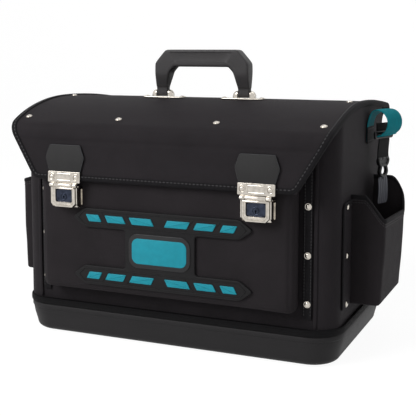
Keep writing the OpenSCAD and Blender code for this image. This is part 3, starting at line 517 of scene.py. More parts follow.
def build_base():
    draft, edge = 7, 13
    # The tray's section as (inset from its rim, height), outside from the bottom up, then inside
    section = [(draft + edge * (1 - s), edge * 0.75 * (1 - c)) for c, s in quarter(8)]
    section += [(draft * 0.45, 24), (draft * 0.2, 33.5), (1.5, 34.6), (0.2, 35.6), (0, 37), (0, 40.6),
                (0.5, 41.7),
                (1.4, 42), (18, 42), (18, 39), (4, 38.6), (9.5, 8), (14, 3.4), (24, 3)]
    rings = [level(TRAY_HIGH, d, d, max(TRAY_R - d, 6), z) for d, z in section]
    piece("tray_shell", loft(rings, caps=True), TRAY, "case", "tray_plastic", "base_tray")
    low, high = BAND_LOW.z, BAND_HIGH.z
    mid, tall = (low + high) / 2, (high - low) / 2
    section = [(2.2 - 2.4 * squared(c, 0.7), mid + tall * squared(s, 0.6)) for c, s in circle(12)]
    rings = [level(BAND_HIGH, d, d, TRAY_R - d, z) for d, z in section]
    piece("rim_band", loft(rings, close_loft=True), BAND, "case", "band", "base_band")
    rings = [level(BAND_HIGH, *row) for row in ((3.6, 3.6, TRAY_R - 3.6, low + 0.1),
                                                (3.6, 3.6, TRAY_R - 3.6, high - 1.2),
                                                (4.9, 10.4, 27, high - 1.6), (4.9, 10.4, 27, low + 0.1))]
    piece("rim_band_inner", loft(rings, close_loft=True), BAND, "case", "band")


# Walls
def wall_normal(x, y):
    cx, cy = BODY_X - WALL_R, BODY_Y - WALL_R
    if abs(x) > cx and abs(y) > cy:
        return Vector((x - math.copysign(cx, x), y - math.copysign(cy, y), 0)).normalized()
    return (Vector((x, 0, 0)) if abs(abs(x) - BODY_X) < 0.01 else Vector((0, y, 0))).normalized()


def build_walls():
    """One shell of covered board. Its sides wrap the corners and end in a folded edge on the front and back."""
    wrap_x, fold, foot = 207, 1.1, WALL_LOW.z + 0.2
    outline = rounded_rect(BODY_X, BODY_Y, WALL_R, 15)
    dense = {(s * (wrap_x + d), t * BODY_Y) for s, t, d in product(SIGNS, SIGNS, (-0.5, 0.5))}
    for p, q in zip(outline, outline[1:] + outline[:1]):
        steps = max(int(math.dist(p, q) / 9), 1)
        dense |= {tuple(a + (b - a) * k / steps for a, b in zip(p, q)) for k in range(steps)}
    dense = sorted(dense, key=lambda p: math.atan2(p[1] / BODY_Y, p[0] / BODY_X))
    rings = []
    for t in (k / 24 for k in range(25)):
        ring = []
        for x, y in dense:
            z = foot + (under_lid(y) - foot) * t
            wave = soft(x, y, z, 110, 1.7) * 0.5 + soft(x, y, z, 50, 4.2) * 0.2
            push = (wave - 0.6) * math.sin(math.pi * min(t * 1.05, 1)) - (fold if abs(x) < wrap_x else 0.0)
            ring.append(Vector((x, y, z)) + wall_normal(x, y) * push)
        rings.append(ring)
    in_x, in_y = 1 - WALL_T / BODY_X, 1 - WALL_T / BODY_Y
    rings += [[(x * in_x, y * in_y, foot + (under_lid(y * in_y) - foot) * t) for x, y in dense]
              for t in (1, 0.75, 0.5, 0.25, 0)]
    piece("wall_cover", loft(rings, close_loft=True), FABRIC, "case", "fabric",
          "front_wall", "back_wall", "side_wall_left", "side_wall_right", sharp=40)
    rows = []
    for s, t in product(SIGNS, SIGNS):
        x, y = s * (wrap_x + 3.2), t * (BODY_Y - 0.45)
        rows.append(seam((x, y, BAND_HIGH.z + 3), (x, y, under_lid(t * BODY_Y) - 6), (0, t, 0)))
    piece("wall_stitches", joined(rows), THREAD, "case", "fabric")


# Front panel
def panel_form():
    """The padded panel before it is filled: a rounded slab, a little smaller than its CAD solid."""
    shrink, edge = 1.6, 9
    half_w, half_h = PANEL_HALF_W - shrink, PANEL_HALF_H - shrink
    deep, front = PANEL_HIGH.y - 0.2, PANEL_LOW.y + 1.9
    section = [(edge * 0.9, deep), (1, deep), (0, deep - 1.2), (0, (deep + front) / 2)]
    section += [(edge * (1 - c), front + edge * (1 - s)) for c, s in quarter(6)]
    return loft([[(x - PANEL_OVER * (0.5 - x / (2 * half_w)), y, PANEL_Z + z)
                  for x, z in rounded_rect(half_w - d, half_h - d, max(6 - d * 0.3, 3))]
                 for d, y in section], caps=True)


def apply_modifiers(obj):
    """Replaces the object's mesh by what its modifiers make of it."""
    deps = bpy.context.evaluated_depsgraph_get()
    made = bpy.data.meshes.new_from_object(obj.evaluated_get(deps))
    old, obj.data = obj.data, made
    obj.modifiers.clear()
    bpy.data.meshes.remove(old)


def points_of(obj):
    return np.array([v.co for v in obj.data.vertices]) / MM


def move_points(obj, places):
    obj.data.vertices.foreach_set("co", (places * MM).astype(np.float32).ravel())
    obj.data.update()


def puff(obj, pressure, cap, frames=20, voxel=6):
    """Fills a padded piece by a short cloth simulation, then caps how far each point may move."""
    bpy.context.view_layer.objects.active = obj
    remesh = obj.modifiers.new("remesh", "REMESH")
    remesh.mode, remesh.voxel_size = "VOXEL", voxel * MM
    apply_modifiers(obj)
    rest = points_of(obj)
    cloth = obj.modifiers.new("cloth", "CLOTH")
    cloth.settings.use_pressure = True
    cloth.settings.uniform_pressure_force = pressure
    cloth.settings.effector_weights.gravity = 0.0
    cloth.settings.quality = 5
    cloth.point_cache.frame_start, cloth.point_cache.frame_end = 1, frames
    for f in range(1, frames + 1):
        bpy.context.scene.frame_set(f)
    apply_modifiers(obj)
    bpy.context.scene.frame_set(1)
    moved = points_of(obj) - rest
    far = np.linalg.norm(moved, axis=1, keepdims=True)
    move_points(obj, rest + moved * np.minimum(1.0, cap / np.maximum(far, 1e-6)))


def build_panel():
    obj = piece("front_pad", panel_form(), PADDED, "case", "padded_fabric", "front_panel")
    puff(obj, pressure=2.0, cap=1.6)
    smooth = obj.modifiers.new("smooth", "SUBSURF")
    smooth.levels = smooth.render_levels = 1
    apply_modifiers(obj)
    seam_in, seam_w, seam_deep = 9.5, 1.6, 1.3
    co = points_of(obj)
    side = np.minimum(PANEL_HALF_W - co[:, 0], PANEL_HALF_W + PANEL_OVER + co[:, 0])
    edge = np.minimum(side, PANEL_HALF_H - abs(co[:, 2] - PANEL_Z))
    groove = np.exp(-((edge - seam_in) / seam_w) ** 2) * seam_deep
    waves = np.array([soft(x, 0, z, 90, 2.3) * 0.55 + soft(x, 0, z, 35, 7.1) * 0.18 for x, _, z in co])
    co[:, 1] += (co[:, 1] < PANEL_LOW.y + 8) * (groove + waves * np.clip(edge / 40, 0, 1))
    co[:, 1] = np.minimum(co[:, 1], PANEL_HIGH.y - 0.1)
    move_points(obj, co)
    for face in obj.data.polygons:
        face.use_smooth = True
    obj.data.materials.clear()
    obj.data.materials.append(PADDED)


# Front strips with the corner folds beside them, and all rivet heads
def build_strips():
    low, high, front = STRIP_LOW, STRIP_HIGH, STRIP_LOW.y
    half_w, half_t, wave = (high.x - low.x) / 2, (high.y - low.y) / 2, 0.35
    profile = ellipse_profile(1, 1, 16, 0.38)
    for side, name in SIDES:
        seed = side * 3.1
        rings = []
        for z in (low.z + (high.z - low.z) * k / 70 for k in range(71)):
            pucker = sum(math.exp(-((z - r) / 7) ** 2) for r in STRIP_RIVETS_Z)
            w = half_w + wave * soft(z, 0, 0, 30, seed)
            lift = wave * 0.5 * soft(0, z, 0, 20, seed + 1.3)
            rings.append([(side * STRIP_X + a * w, front + half_t + 0.25 * pucker - b * half_t - lift, z)
                          for a, b in profile])
        band = piece(f"front_band_{name}", loft(rings, caps=True), TAPE, "case", "fabric",
                     f"front_strip_{name}", sharp=50)
        rows = [seam((side * x, front + 0.1, low.z + 4), (side * x, front + 0.1, high.z - 4), FRONT)
                for x in (STRIP_X - 4.4, STRIP_X + 4.4)]
        piece(f"front_band_stitches_{name}", joined(rows), THREAD, "case", "fabric")
        foot, top = BAND_HIGH.z + 1, under_lid(-BODY_Y) - 3
        path = [(side * (208.6 + 0.5 * soft(z, 1000 * side, 0, 90, 5.0)), front + 1.35, z)
                for z in (foot + (top - foot) * i / 40 for i in range(41))]
        piece(f"corner_fold_{name}", beam(path, FRONT, 2.7, 1.5, 12, 0.8), FABRIC, "case", "fabric", sharp=60)


def dome(place, out, r=HEAD_R, h=HEAD_H, rim=0.9, count=24):
    """A domed rivet head with a thin flat rim."""
    place, out = Vector(place), Vector(out).normalized()
    side = out.orthogonal().normalized()
    other = out.cross(side)
    inner = r - rim
    rows = [(r, 0), (r, 0.35), (r - 0.25, 0.55), (inner, 0.5)]
    rows += [(inner * c, 0.5 + (h - 0.5) * s) for c, s in quarter(7, 1, 1)]
    verts, faces = loft([[place + (side * c + other * s) * d + out * z for c, s in circle(count)]
                         for d, z in rows])
    last = len(verts) - count
    faces.append(tuple(reversed(range(count))))
    faces += [(last + k, last + (k + 1) % count, len(verts)) for k in range(count)]
    return verts + [place + out * h], faces


def on_lid(x, y):
    """A place on the lid's top and the normal there."""
    r = FRONT_R if y < RIDGE_Y else BACK_R
    a = math.asin((RIDGE_Y - y) / r)
    return (x, y, RIDGE_Z - r + r * math.cos(a)), (0, -math.sin(a), math.cos(a))


def build_rivets():
    heads = [dome((s * STRIP_X, STRIP_LOW.y, z), FRONT) for s, z in product(SIGNS, STRIP_RIVETS_Z)]
    piece("front_rivet_heads", joined(heads), NICKEL, "case", "nickel", "front_rivets")
    flange = box("pocket_flanges_right")[1].x
    heads = [dome((s * flange, t * FLANGE_RIVET_Y, FLANGE_RIVET_Z + k * FLANGE_RIVET_STEP), (s, 0, 0))
             for s, t, k in product(SIGNS, SIGNS, (-1, 0, 1))]
    piece("pocket_rivet_heads", joined(heads), NICKEL, "case", "nickel", "pocket_rivets")
    outer = LID_HALF - 21
    places = [(x, -144) for x in (-outer, -outer / 3, outer / 3, outer)] + [(-outer, RIDGE_Y), (outer, RIDGE_Y)]
    heads = [dome(*on_lid(*p)) for p in places]
    mid = middle("handle_plate_right").x
    heads += [dome((s * mid + t * 28.8, RIDGE_Y, RIDGE_Z + 2.3), UP, 3.64, 1.54, 0.6)
              for s, t in product(SIGNS, SIGNS)]
    piece("lid_rivet_heads", joined(heads), NICKEL, "lid", "nickel", "lid_rivets")


# Badge: a moulded backing, slanted teal bars and a bare plaque, all lying on the panel
def build_badge():
    low, high = box("badge_backing")
    mid_z, half, tall = (low.z + high.z) / 2, high.x, (high.z - low.z) / 2
    rail, foot, p = 27, half * 0.86, 52
    inner, z0, bar_h = tall - rail, tall - rail / 2, rail * 0.36

    def place(x, z, h):
        return (x, PANEL_LOW.y - h, mid_z + z)

    def bead(points, radius):
        return beam([place(x, z, 4) for x, z in points], FRONT, radius, radius, 10)
    line = [(-half, z0), (-foot, inner), (-p, inner), (-p, -inner), (-foot, -inner), (-half, -z0),
            (-foot, -tall)]
    line += [(-x, z) for x, z in reversed(line)]
    line.append((-foot, tall))
    line.insert(-1, (foot, tall))
    parts = [plate(round_corners(line, 5, 5), -1.2, 4, place, 1.6, 5)]
    for s, t in product(SIGNS, SIGNS):
        edge = [(0.004, -bar_h), (0.43, -bar_h), (0.465, 0), (0.43, bar_h), (0.004, bar_h)]
        parts.append(bead([(s * 2 * half * a, t * (z0 + z)) for a, z in edge], 0.75))
        slant = ((-0.42, -0.8), (0.9, 0.8))
        parts += [bead([(s * (2 * half * a + b * bar_h), t * (z0 + c * bar_h)) for b, c in slant], 0.6)
                  for a in (0.155, 0.297)]
    piece("badge_back", joined(parts), RUBBER, "case", "badge_rubber", "badge_backing", sharp=40)
    bars, shares = [], [0.01, 0.17, 0.31, 0.42]
    for (s, t), (a, b) in product(product(SIGNS, SIGNS), zip(shares, shares[1:])):
        x0, x1, h = 2 * half * a + bar_h / 2, 2 * half * b, bar_h / 2
        shape = [(s * x, t * z) for x, z in ((x0, z0 - h), (x1 - h, z0 - h), (x1, z0 + h), (x0 + h, z0 + h))]
        bars.append(plate(round_corners(shape[::s * t], 1.2), 3, 5.2, place, 0.7, 4))
    piece("badge_bars", joined(bars), TEAL, "case", "badge_teal", "badge_inlays", sharp=40)
    w, h = 2 * p * 0.88, 2 * inner * 0.88
    face = plate(rounded_rect(w / 2, h / 2, h * 0.3), 3, 5.2, place, 0.8, 4)
    piece("badge_plate", face, PLAQUE, "case", "plaque", "badge_plaque", sharp=40)
    face = plate(rounded_rect(w * 0.445, h * 0.37, h * 0.2), 5, 5.75, place, 0.5)
    piece("badge_face", face, TEAL, "case", "badge_teal", sharp=40)


# Side pockets
POCKET_LOW, POCKET_HIGH = box("pocket_right")
POCKET_X, POCKET_HALF = POCKET_LOW.x, POCKET_HIGH.y
POCKET_OUT, POCKET_R, POCKET_T = POCKET_HIGH.x - POCKET_X + 4, 7, 2.4
FRONT_Z, LIP_Z, LIP_FALL, LEFT_FALL = 219, 188, 7, 8


def pocket_path(out, half, r, count=84):
    """The pocket's outline from the wall at its front round to the wall at its back, with outward normals."""
    first, arc = out - r, math.pi / 2 * r
    total = 2 * (first + arc + half - r)
    line, normals = [], []
    for i in range(count + 1):
        side = 1 if 2 * i > count else -1
        s = total * min(i, count - i) / count
        a = math.pi / 2 * clamp((s - first) / arc)
        line.append((min(s, first) + r * math.sin(a),
                     side * (half - r + r * math.cos(a) - max(s - first - arc, 0))))
        normals.append(Vector((math.sin(a), side * math.cos(a), 0)))
    return line, normals


def front_slope(x):
    """Share of the fall along the pocket's front side, by how far a place lies out from the wall."""
    return clamp((x - 19.5) / (POCKET_OUT - 20.5))


def right_rim(x, y):
    """Height of the rim over a place of the pocket's outline. The lip falls to the back."""
    lip = LIP_Z - LIP_FALL * clamp((y + POCKET_HALF) / (2 * POCKET_HALF))
    if y < -POCKET_HALF + POCKET_R:
        return FRONT_Z - (FRONT_Z - lip) * (front_slope(x) * 0.8 + 0.2 * smoothstep(front_slope(x)))
    if y > POCKET_HALF - POCKET_R:
        rise = smoothstep((y - POCKET_HALF + POCKET_R) / POCKET_R) * 0.35
        rise += 0.65 * math.sin(math.pi / 2 * clamp((POCKET_OUT - x) / 24))
        return lip + (POCKET_HIGH.z - lip) * min(rise, 1.0)
    return lip


def left_rim(x, y):
    """The left pocket's rim, which stays high as far as its front corner."""
    if y < -POCKET_HALF + POCKET_R:
        return FRONT_Z - LEFT_FALL * front_slope(x)
    corner, low = FRONT_Z - LEFT_FALL, right_rim(x, y)
    return corner + (low - corner) * smoothstep((y + POCKET_HALF - POCKET_R) / 45) if low < corner else low


def pocket_parts(rim, taper):
    """A pocket's shell, its rim's binding and the stitches under it, for the right side."""
    base, rows = POCKET_LOW.z + 0.3, 30
    line, normals = pocket_path(POCKET_OUT, POCKET_HALF, POCKET_R)
    n = len(line)

    def point(i, t, depth):
        x, y = line[i]
        z = base + (rim(x, y) - base) * t
        low = 1 - (z - base) / (POCKET_HIGH.z - base)
        bulge = 0.9 + 0.5 * soft(x, y, z, 60, 3.3) + 0.6 * soft(x, y, z, 35, 8.8)
        d = bulge * math.sin(math.pi * min(t, 1)) * min(x / 10, 1) - depth
        return Vector((max(POCKET_X + x * (1 - taper / POCKET_OUT * low) + normals[i].x * d, POCKET_X + 0.05),
                       y + normals[i].y * d, z))
    ts = [smoothstep(k / rows) * 0.25 + 0.75 * k / rows for k in range(rows + 1)]
    outer, inner = ([[point(i, t, depth) for i in range(n)] for t in ts] for depth in (0, POCKET_T))
    floor = base + 2.2
    rounded = [[(p - m * d).xy.to_3d() + Vector((0, 0, base + z)) for p, m in zip(outer[0], normals)]
               for d, z in ((4, -0.3), (1.6, 0.4))]
    for grid in (outer, inner):
        grid[0] = [Vector((p.x, p.y, floor)) for p in grid[0]]
    verts, faces = loft(rounded + outer + inner[::-1], close_ring=False)
    for start, way in ((0, -1), (len(verts) - n, 1)):
        faces += [(start + i, start + i + 1, start + n - 2 - i, start + n - 1 - i)[::way]
                  for i in range(n // 2 - 1)]
    tape = [(2.1 * squared(c, 0.6), 3.1 * squared(s, 0.8) - 1.1) for c, s in circle(14)]
    tops = [(point(i, 1.0, 0) + point(i, 1.0, POCKET_T)) / 2 for i in range(n)]
    binding = loft([[p + m * a + Vector((0, 0, b)) for a, b in tape] for p, m in zip(tops, normals)], caps=True)
    rows = [[point(i, 1 - drop / (rim(*line[i]) - base), 0) + normals[i] * 0.15 for i in range(n)]
            for drop in (5.2, 8.4)]
    return (verts, faces), binding, rows, normals


def build_pockets():
    for (side, name), rim, taper in zip(SIDES, (right_rim, left_rim), (8, 3)):
        shell, binding, rows, normals = pocket_parts(rim, taper)

        def on_side(points):
            return [(side * p[0], p[1], p[2]) for p in points]
        piece(f"pocket_shell_{name}", (on_side(shell[0]), shell[1]), PADDED, "case", "padded_fabric",
              f"pocket_{name}", sharp=60)
        piece(f"pocket_binding_{name}", (on_side(binding[0]), binding[1]), TAPE, "case", "binding", sharp=60)
        piece(f"pocket_stitches_{name}", joined(stitches(on_side(row), on_side(normals)) for row in rows),
              THREAD, "case", "fabric")
    build_flanges()


def build_flanges():
    """The flat flanges that hold the pockets, bound along their outer and upper edges."""
    low, high = box("pocket_flanges_right")
    near, far, tall = 67.3, high.y, high.z - low.z
    shape = rectangle(near, low.z, far, high.z, 6, 6)
    edge = [(far - 0.6, low.z + 3)] + [(far - 0.6, low.z + (tall - 14) * k / 20 + 5) for k in range(21)]
    edge += [(far - 0.6 - 8 * (1 - c), high.z - 8.6 + 8 * s) for c, s in quarter(8, 1)]
    edge += [(near + (far - near - 9) * k / 8, high.z - 0.6) for k in range(7, -1, -1)]
    sewn, in_by = [], 5.6
    for side, name in SIDES:
        def place(y, z, h):
            pucker = sum(math.exp(-((abs(y) - FLANGE_RIVET_Y) ** 2 + (z - m) ** 2) / 81)
                         for m in (76.7, 142, 207.3))
            return (side * (low.x + h - (0.3 * pucker if h > 0.5 else 0)), y, z)
        slabs, tapes, sewn = [], [], []
        for t in SIGNS:
            slabs.append(plate(shape, 0.05, high.x - low.x, lambda y, z, h: place(t * y, z, h), 0.5))
            tapes.append(beam([(side * (high.x + 0.2), t * y, z) for y, z in edge], (side, 0, 0),
                              2.3, 1.25, 12, 0.7))
            x, y, z = side * high.x, t * (far - in_by), high.z - in_by
            sewn += [seam((x, y, low.z + 4), (x, y, z - 2), (side, 0, 0)),
                     seam((x, y - 2 * t, z), (x, t * near, z), (side, 0, 0))]
        piece(f"pocket_flange_{name}", joined(slabs), FABRIC, "case", "fabric",
              f"pocket_flanges_{name}", sharp=50)
        piece(f"flange_binding_{name}", joined(tapes), TAPE, "case", "binding", sharp=60)
        piece(f"flange_stitches_{name}", joined(sewn), THREAD, "case", "fabric")


# Lid
def lid_point(x, v, depth):
    """A point of the lid, with a slight sag and creases that fade towards its edges."""
    y, z, n = lid_at(v, depth)
    inside = smoothstep((lid_half(v) - abs(x)) / 35) * smoothstep(v / 25) * smoothstep((LID_LEN - v) / 25)
    wave = 0.5 * soft(x, v, 0, 120, 1.1) + 0.18 * soft(x, v, 0, 45, 6.4)
    crease = -math.exp(-((v - 55 - 1.5 * soft(x, 0, 0, 150, 9.0)) / 2) ** 2)
    push = (wave + crease - 0.15) * inside
    return (x, y + n[0] * push, z + n[1] * push)


def build_lid():
    start, across, along = 1.2, 56, 150
    grids = [[[lid_point((2 * k / across - 1) * (lid_half(v) - start), v, depth) for k in range(across + 1)]
              for v in (start + (LID_LEN - start) * k / along for k in range(along + 1))]
             for depth in (0, LID_T)]
    obj = piece("lid_cover", slab(*grids), FABRIC, "lid", "fabric", "lid_panel", sharp=40)
    obj.data.materials.append(LINING)
    inside = Vector((0, -60, 200)) * MM
    for face in obj.data.polygons:
        if face.normal.dot(inside - face.center) > 0 and abs(face.normal.x) < 0.5:
            face.material_index = 1
    build_lid_binding()
    build_hinge_cover()


def lid_edge_path():
    """The lid's outline as (x, v), from its right side's back down, round the flap and up its left side."""
    half = [(lid_half(v), v) for v in (LID_LEN - (LID_LEN - 9) * k / 120 for k in range(121))]
    foot = lid_half(0)
    a, b, c = half[-1], (foot, 0.0), (foot - 10, 0.0)
    half += [tuple((1 - t) ** 2 * a[i] + 2 * t * (1 - t) * b[i] + t * t * c[i] for i in (0, 1))
             for t in (k / 8 for k in range(1, 9))]
    return half + [(c[0] * (1 - 2 * k / 60), 0.0) for k in range(1, 60)] + [(-x, v) for x, v in reversed(half)]


def build_lid_binding():
    path = lid_edge_path()
    width, mid, up = 8.2, LID_T / 2, BINDING_RAISE
    profile = [(width, mid - 0.2), (width, mid + up * 0.75), (width - 0.6, mid + up), (1.6, mid + up),
               (0.5, mid + 0.2), (0, mid / 2)]
    profile += [(a, -b) for a, b in reversed(profile)]
    rings, row, normals = [], [], []
    for i, (x, v) in enumerate(path):
        t = tangent([Vector(p) for p in path[max(i - 1, 0):i + 2]], 1 if 0 < i < len(path) - 1 else 0)
        wobble = 0.25 * soft(x, v, 0, 20, 4.4)
        rings.append([(x + t.y * (a + (wobble if a > 2 else 0)), *lid_at(v - t.x * a, mid - b)[:2])
                      for a, b in profile])
        y, z, n = lid_at(v - t.x * 6, -up)
        row.append((x + t.y * 6, y, z))
        normals.append((0, *n))
    piece("lid_tape", loft(rings, caps=True), TAPE, "lid", "binding", "lid_binding", sharp=50)
    piece("lid_stitches", stitches(row, normals, 5.4, 3.4, 0.62), THREAD, "lid", "fabric")


def build_hinge_cover():
    """A cloth strip from the back wall up over the welt, sewn to the lid's back edge."""
    line = [(BODY_Y + y, HINGE_Z - z) for y, z in ((0.9, 34), (0.9, 24), (1.6, 17), (5, 11), (11.5, 6))]
    turn = math.pi / 2 - WRAP_A
    for a in (turn * k / 8 - math.pi / 2 for k in range(9)):
        line.append((HINGE_Y - (WRAP_R + 0.9) * math.sin(a), HINGE_Z + (WRAP_R + 0.9) * math.cos(a)))
    line += [lid_at(LID_LEN - WRAP_R * turn - 6 * k, -0.9)[:2] for k in range(1, 5)]
    half, cols, pts = LID_HALF - 9, 60, [Vector((0, *p)) for p in line]
    outs = [Vector((0, t.z, -t.y)) for t in (tangent(pts, i) for i in range(len(pts)))]
    grids = [[[Vector((2 * half * c / cols - half, 0, 0)) + p + o * (d + 0.2 * soft(c * 10, p.z, 0, 20))
               for c in range(cols + 1)] for p, o in zip(pts, outs)] for d in (0.45, -0.45)]
    obj = piece("hinge_cover", slab(*grids), FABRIC, None, "fabric", sharp=50)
    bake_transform(obj)
    length = sum((b - a).length for a, b in zip(pts, pts[1:]))
    row = seam(*((s * (half - 3), BODY_Y + 1.4, HINGE_Z - 31) for s in SIGNS), (0, 1, 0))
    piece("hinge_stitches_wall", row, THREAD, "case", "fabric")
    welt = beam([(x, HINGE_Y, HINGE_Z) for x in (WELT_LOW.x, 0, WELT_HIGH.x)], (0.13, 0.21, 0.97),
                WELT_R - 0.05, WELT_R - 0.05, 20)
    piece("hinge_cord", welt, TAPE, "case", "fabric", "hinge_welt")


# Locks. Places on the flap are (across, up from its lower edge, out from its face)
BAR_Y, BAR_Z = middle("hasp_pins")[1:]
LOCK_X = middle("hasp_frame_right").x
BAR_R, KNUCKLE_X, KNUCKLE_W, PIN_R, KEY_DOWN = 3, 14.1, 3.45, 1.25, 16.5
STRIKE_RIVET = (19, 4.8)


def on_flap(x, v, out):
    return (x, FLAP_FOOT[0] + v * math.sin(FLAP_LEAN) - out * math.cos(FLAP_LEAN),
            FLAP_FOOT[1] + v * math.cos(FLAP_LEAN) + out * math.sin(FLAP_LEAN))


def build_tabs():
    shape = round_corners([(-21, 0), (21, 0), (30.5, 32), (24, 49.5), (-24, 49.5), (-30.5, 32)], 2.5, 5)
    for side, name in SIDES:
        def place(x, v, h):
            crown = 0.25 * (1 - (x / 31) ** 2) if h > 1 else 0
            return on_flap(side * LOCK_X + x, v, BINDING_RAISE + h + crown)
        part = plate(shape, 0.02, 2.1, place, 0.55)
        obj = piece(f"leather_patch_{name}", part, LEATHER, "lid", "leather", f"leather_tab_{name}", sharp=50)
        obj.data.materials.append(CUT_EDGE)
        for i, face in enumerate(obj.data.polygons[:-2]):
            face.material_index = 1 if 2 <= i // len(shape) <= 5 else 0


def bar_tube(x0, x1, radius, dy=0.0, dz=0.0, count=20, bevel=0.5):
    """A rolled piece round the lock's bar from x0 to x1, with softened ends."""
    ends = [(bevel, 0), (bevel * 0.3, 0.3 * bevel), (0, bevel)]
    rings = [[(x, BAR_Y + dy + (radius - d) * c, BAR_Z + dz + (radius - d) * s) for c, s in circle(count)]
             for x, d in [(x0 + e, d) for d, e in ends] + [(x1 - e, d) for d, e in reversed(ends)]]
    return loft(rings, caps=True)


def ring_on(place, outer, inner, low, high, bevel=0.3):
    """A flat ring with rounded edges; place maps (a, b, height) to a point."""
    edge = ((0, low), (0, high - bevel), (bevel * 0.4, high - bevel * 0.25), (bevel, high))
    rows = [(outer - d, h) for d, h in edge] + [(inner + d, h) for d, h in reversed(edge)]
    return loft([[place(r * c, r * s, h) for c, s in circle(28)] for r, h in rows], close_loft=True)


def build_strikes():
    rivets = []
    for side, name in SIDES:
        cx = side * LOCK_X

        def place(x, v, h):
            return on_flap(cx + x, v, BINDING_RAISE + 2 + h)
        rim = [place(x, v, 1.4) for x, v in rectangle(-11.5, 0.2, 11.5, 9.4, 1.6)]
        parts = [plate(rectangle(-25.4, -2.8, 25.4, 12.4, 1.4), 0, 1.35, place, 0.35),
                 beam(rim, FLAP_OUT, 0.55, 0.4, 10, closed=True)]
        for t in SIGNS:
            x, v = t * STRIKE_RIVET[0], STRIKE_RIVET[1]
            k = t * 17.9
            parts += [ring_on(lambda a, b, h: place(x + a, v + b, h), 5.2, 3.9, 1.2, 2),
                      bar_tube(cx + k - KNUCKLE_W, cx + k + KNUCKLE_W, BAR_R),
                      plate(rectangle(k - 3, -5, k + 3, -1), 0, 1.3, place, 0.3)]
            rivets.append(dome(place(x, v, 1.35), FLAP_OUT, 3.6, 1.9, 0.5))
        piece(f"strike_{name}", joined(parts), NICKEL, "lid", "nickel", f"strike_plate_{name}", sharp=35)
    piece("strike_rivet_heads", joined(rivets), NICKEL, "lid", "nickel", "strike_rivets")


def shield(half, top, low, bevel):
    """The hasp's outline as (x, below the bar): its lower corners are chamfered."""
    return round_corners([(-half, top), (half, top), (half, low - bevel), (half - bevel, low),
                          (bevel - half, low),
                          (-half, low - bevel)], 0.8)


def build_hasps():
    # The frame's section as (half width, top, low edge, chamfer, behind the bar)
    section = ((18.65, 3.2, 30.9, 5, 8), (18.65, 3.2, 30.9, 5, 0.1), (18.35, 3.5, 30.6, 4.9, -0.65),
               (17.6, 4.1, 29.9, 4.6, -1), (16.4, 4.7, 28.7, 4.2, -1), (16.0, 4.9, 28.3, 4.0, -0.45),
               (15.4, 5.2, 27.5, 3.6, -0.45), (15.0, 5.4, 27.1, 3.2, -0.95), (14.1, 5.7, 25.2, 2.4, -0.95),
               (13.3, 6.0, 24.1, 1.6, -0.1), (12.85, 6.2, 23.6, 1.2, 1.0), (12.85, 6.2, 23.6, 1.2, 8))
    hole, window, top, low, square = 4.05, 12.8, 6.25, 23.55, 0.32
    for side, name in SIDES:
        cx, body = side * LOCK_X, f"hasp_{name}"
        rings = [[(cx + x, BAR_Y + y, BAR_Z - z) for x, z in shield(*row)] for *row, y in section]
        parts = [loft(rings, close_loft=True), bar_tube(cx - KNUCKLE_X, cx + KNUCKLE_X, BAR_R),
                 bar_tube(cx - 18.2, cx + 18.2, PIN_R, -0.3, -4.5, 14),
                 plate(rectangle(cx - KNUCKLE_X, -4.2, cx + KNUCKLE_X, -1.4), -0.9, 0.9,
                       lambda x, z, h: (x, BAR_Y - h, BAR_Z + z), 0.3)]
        piece(f"hasp_{name}_frame", joined(parts), NICKEL, body, "nickel", f"hasp_frame_{name}", sharp=35)

        def face(a, b, h):
            return (cx + a, BAR_Y + 1.9 - h, BAR_Z - KEY_DOWN + b)
        rings = [[face((hole + grow) * c, (hole + grow) * s, 1.9 - y) for c, s in circle(40)]
                 for grow, y in ((0, 1.9), (0, 1.0), (0.5, 0.75), (0.8, 1.1))]
        for share, y in ((0.45, 1.15), (0.8, 1.3), (0.97, 1.55), (1.0, 1.9), (1.0, 2.9)):
            ring = []
            for c, s in circle(40):
                x0, z0 = (hole + 0.8) * c, (hole + 0.8) * s
                tall = KEY_DOWN - top if s > 0 else low - KEY_DOWN
                x, z = squared(c, square) * window, squared(s, square) * tall
                ring.append(face(x0 + (x - x0) * share, z0 + (z - z0) * share, 1.9 - y))
            rings.append(ring)
        piece(f"hasp_{name}_plate", loft(rings), DARK_CHROME, body, "dark_chrome",
              f"key_plate_{name}", sharp=35)
        piece(f"hasp_{name}_collar", ring_on(face, 4.9, 4.1, 0.4, 1.5), DARK_CHROME, body, "dark_chrome")
        build_plug(name, face)


def build_plug(name, face):
    """The turning plug: a disc whose face is sunk at the keyhole."""
    plug_r, key_r, slot_w, slot_l = 3.95, 1.25, 0.62, 3.3
    rings = []
    for t, h in ((0, -4.5), (0, 0.9), (0.08, 1.3), (0.2, 1.4), (0.85, 1.25), (1, 1.05), (1, -1.5)):
        ring = []
        for c, s in circle(48):
            slot = min(slot_w / max(abs(c), 1e-6), slot_l / abs(s)) if s < -0.5 else 0
            r = plug_r + (max(slot, key_r) - plug_r) * t
            ring.append(face(r * c, r * s, h))
        rings.append(ring)
    piece(f"key_{name}_face", loft(rings, caps=True), DARK_CHROME, f"key_{name}", "dark_chrome",
          f"key_plug_{name}", sharp=35)


# Handle
GRIP_X = box("handle_grip")[1].x
PIVOT = middle("handle_pins")


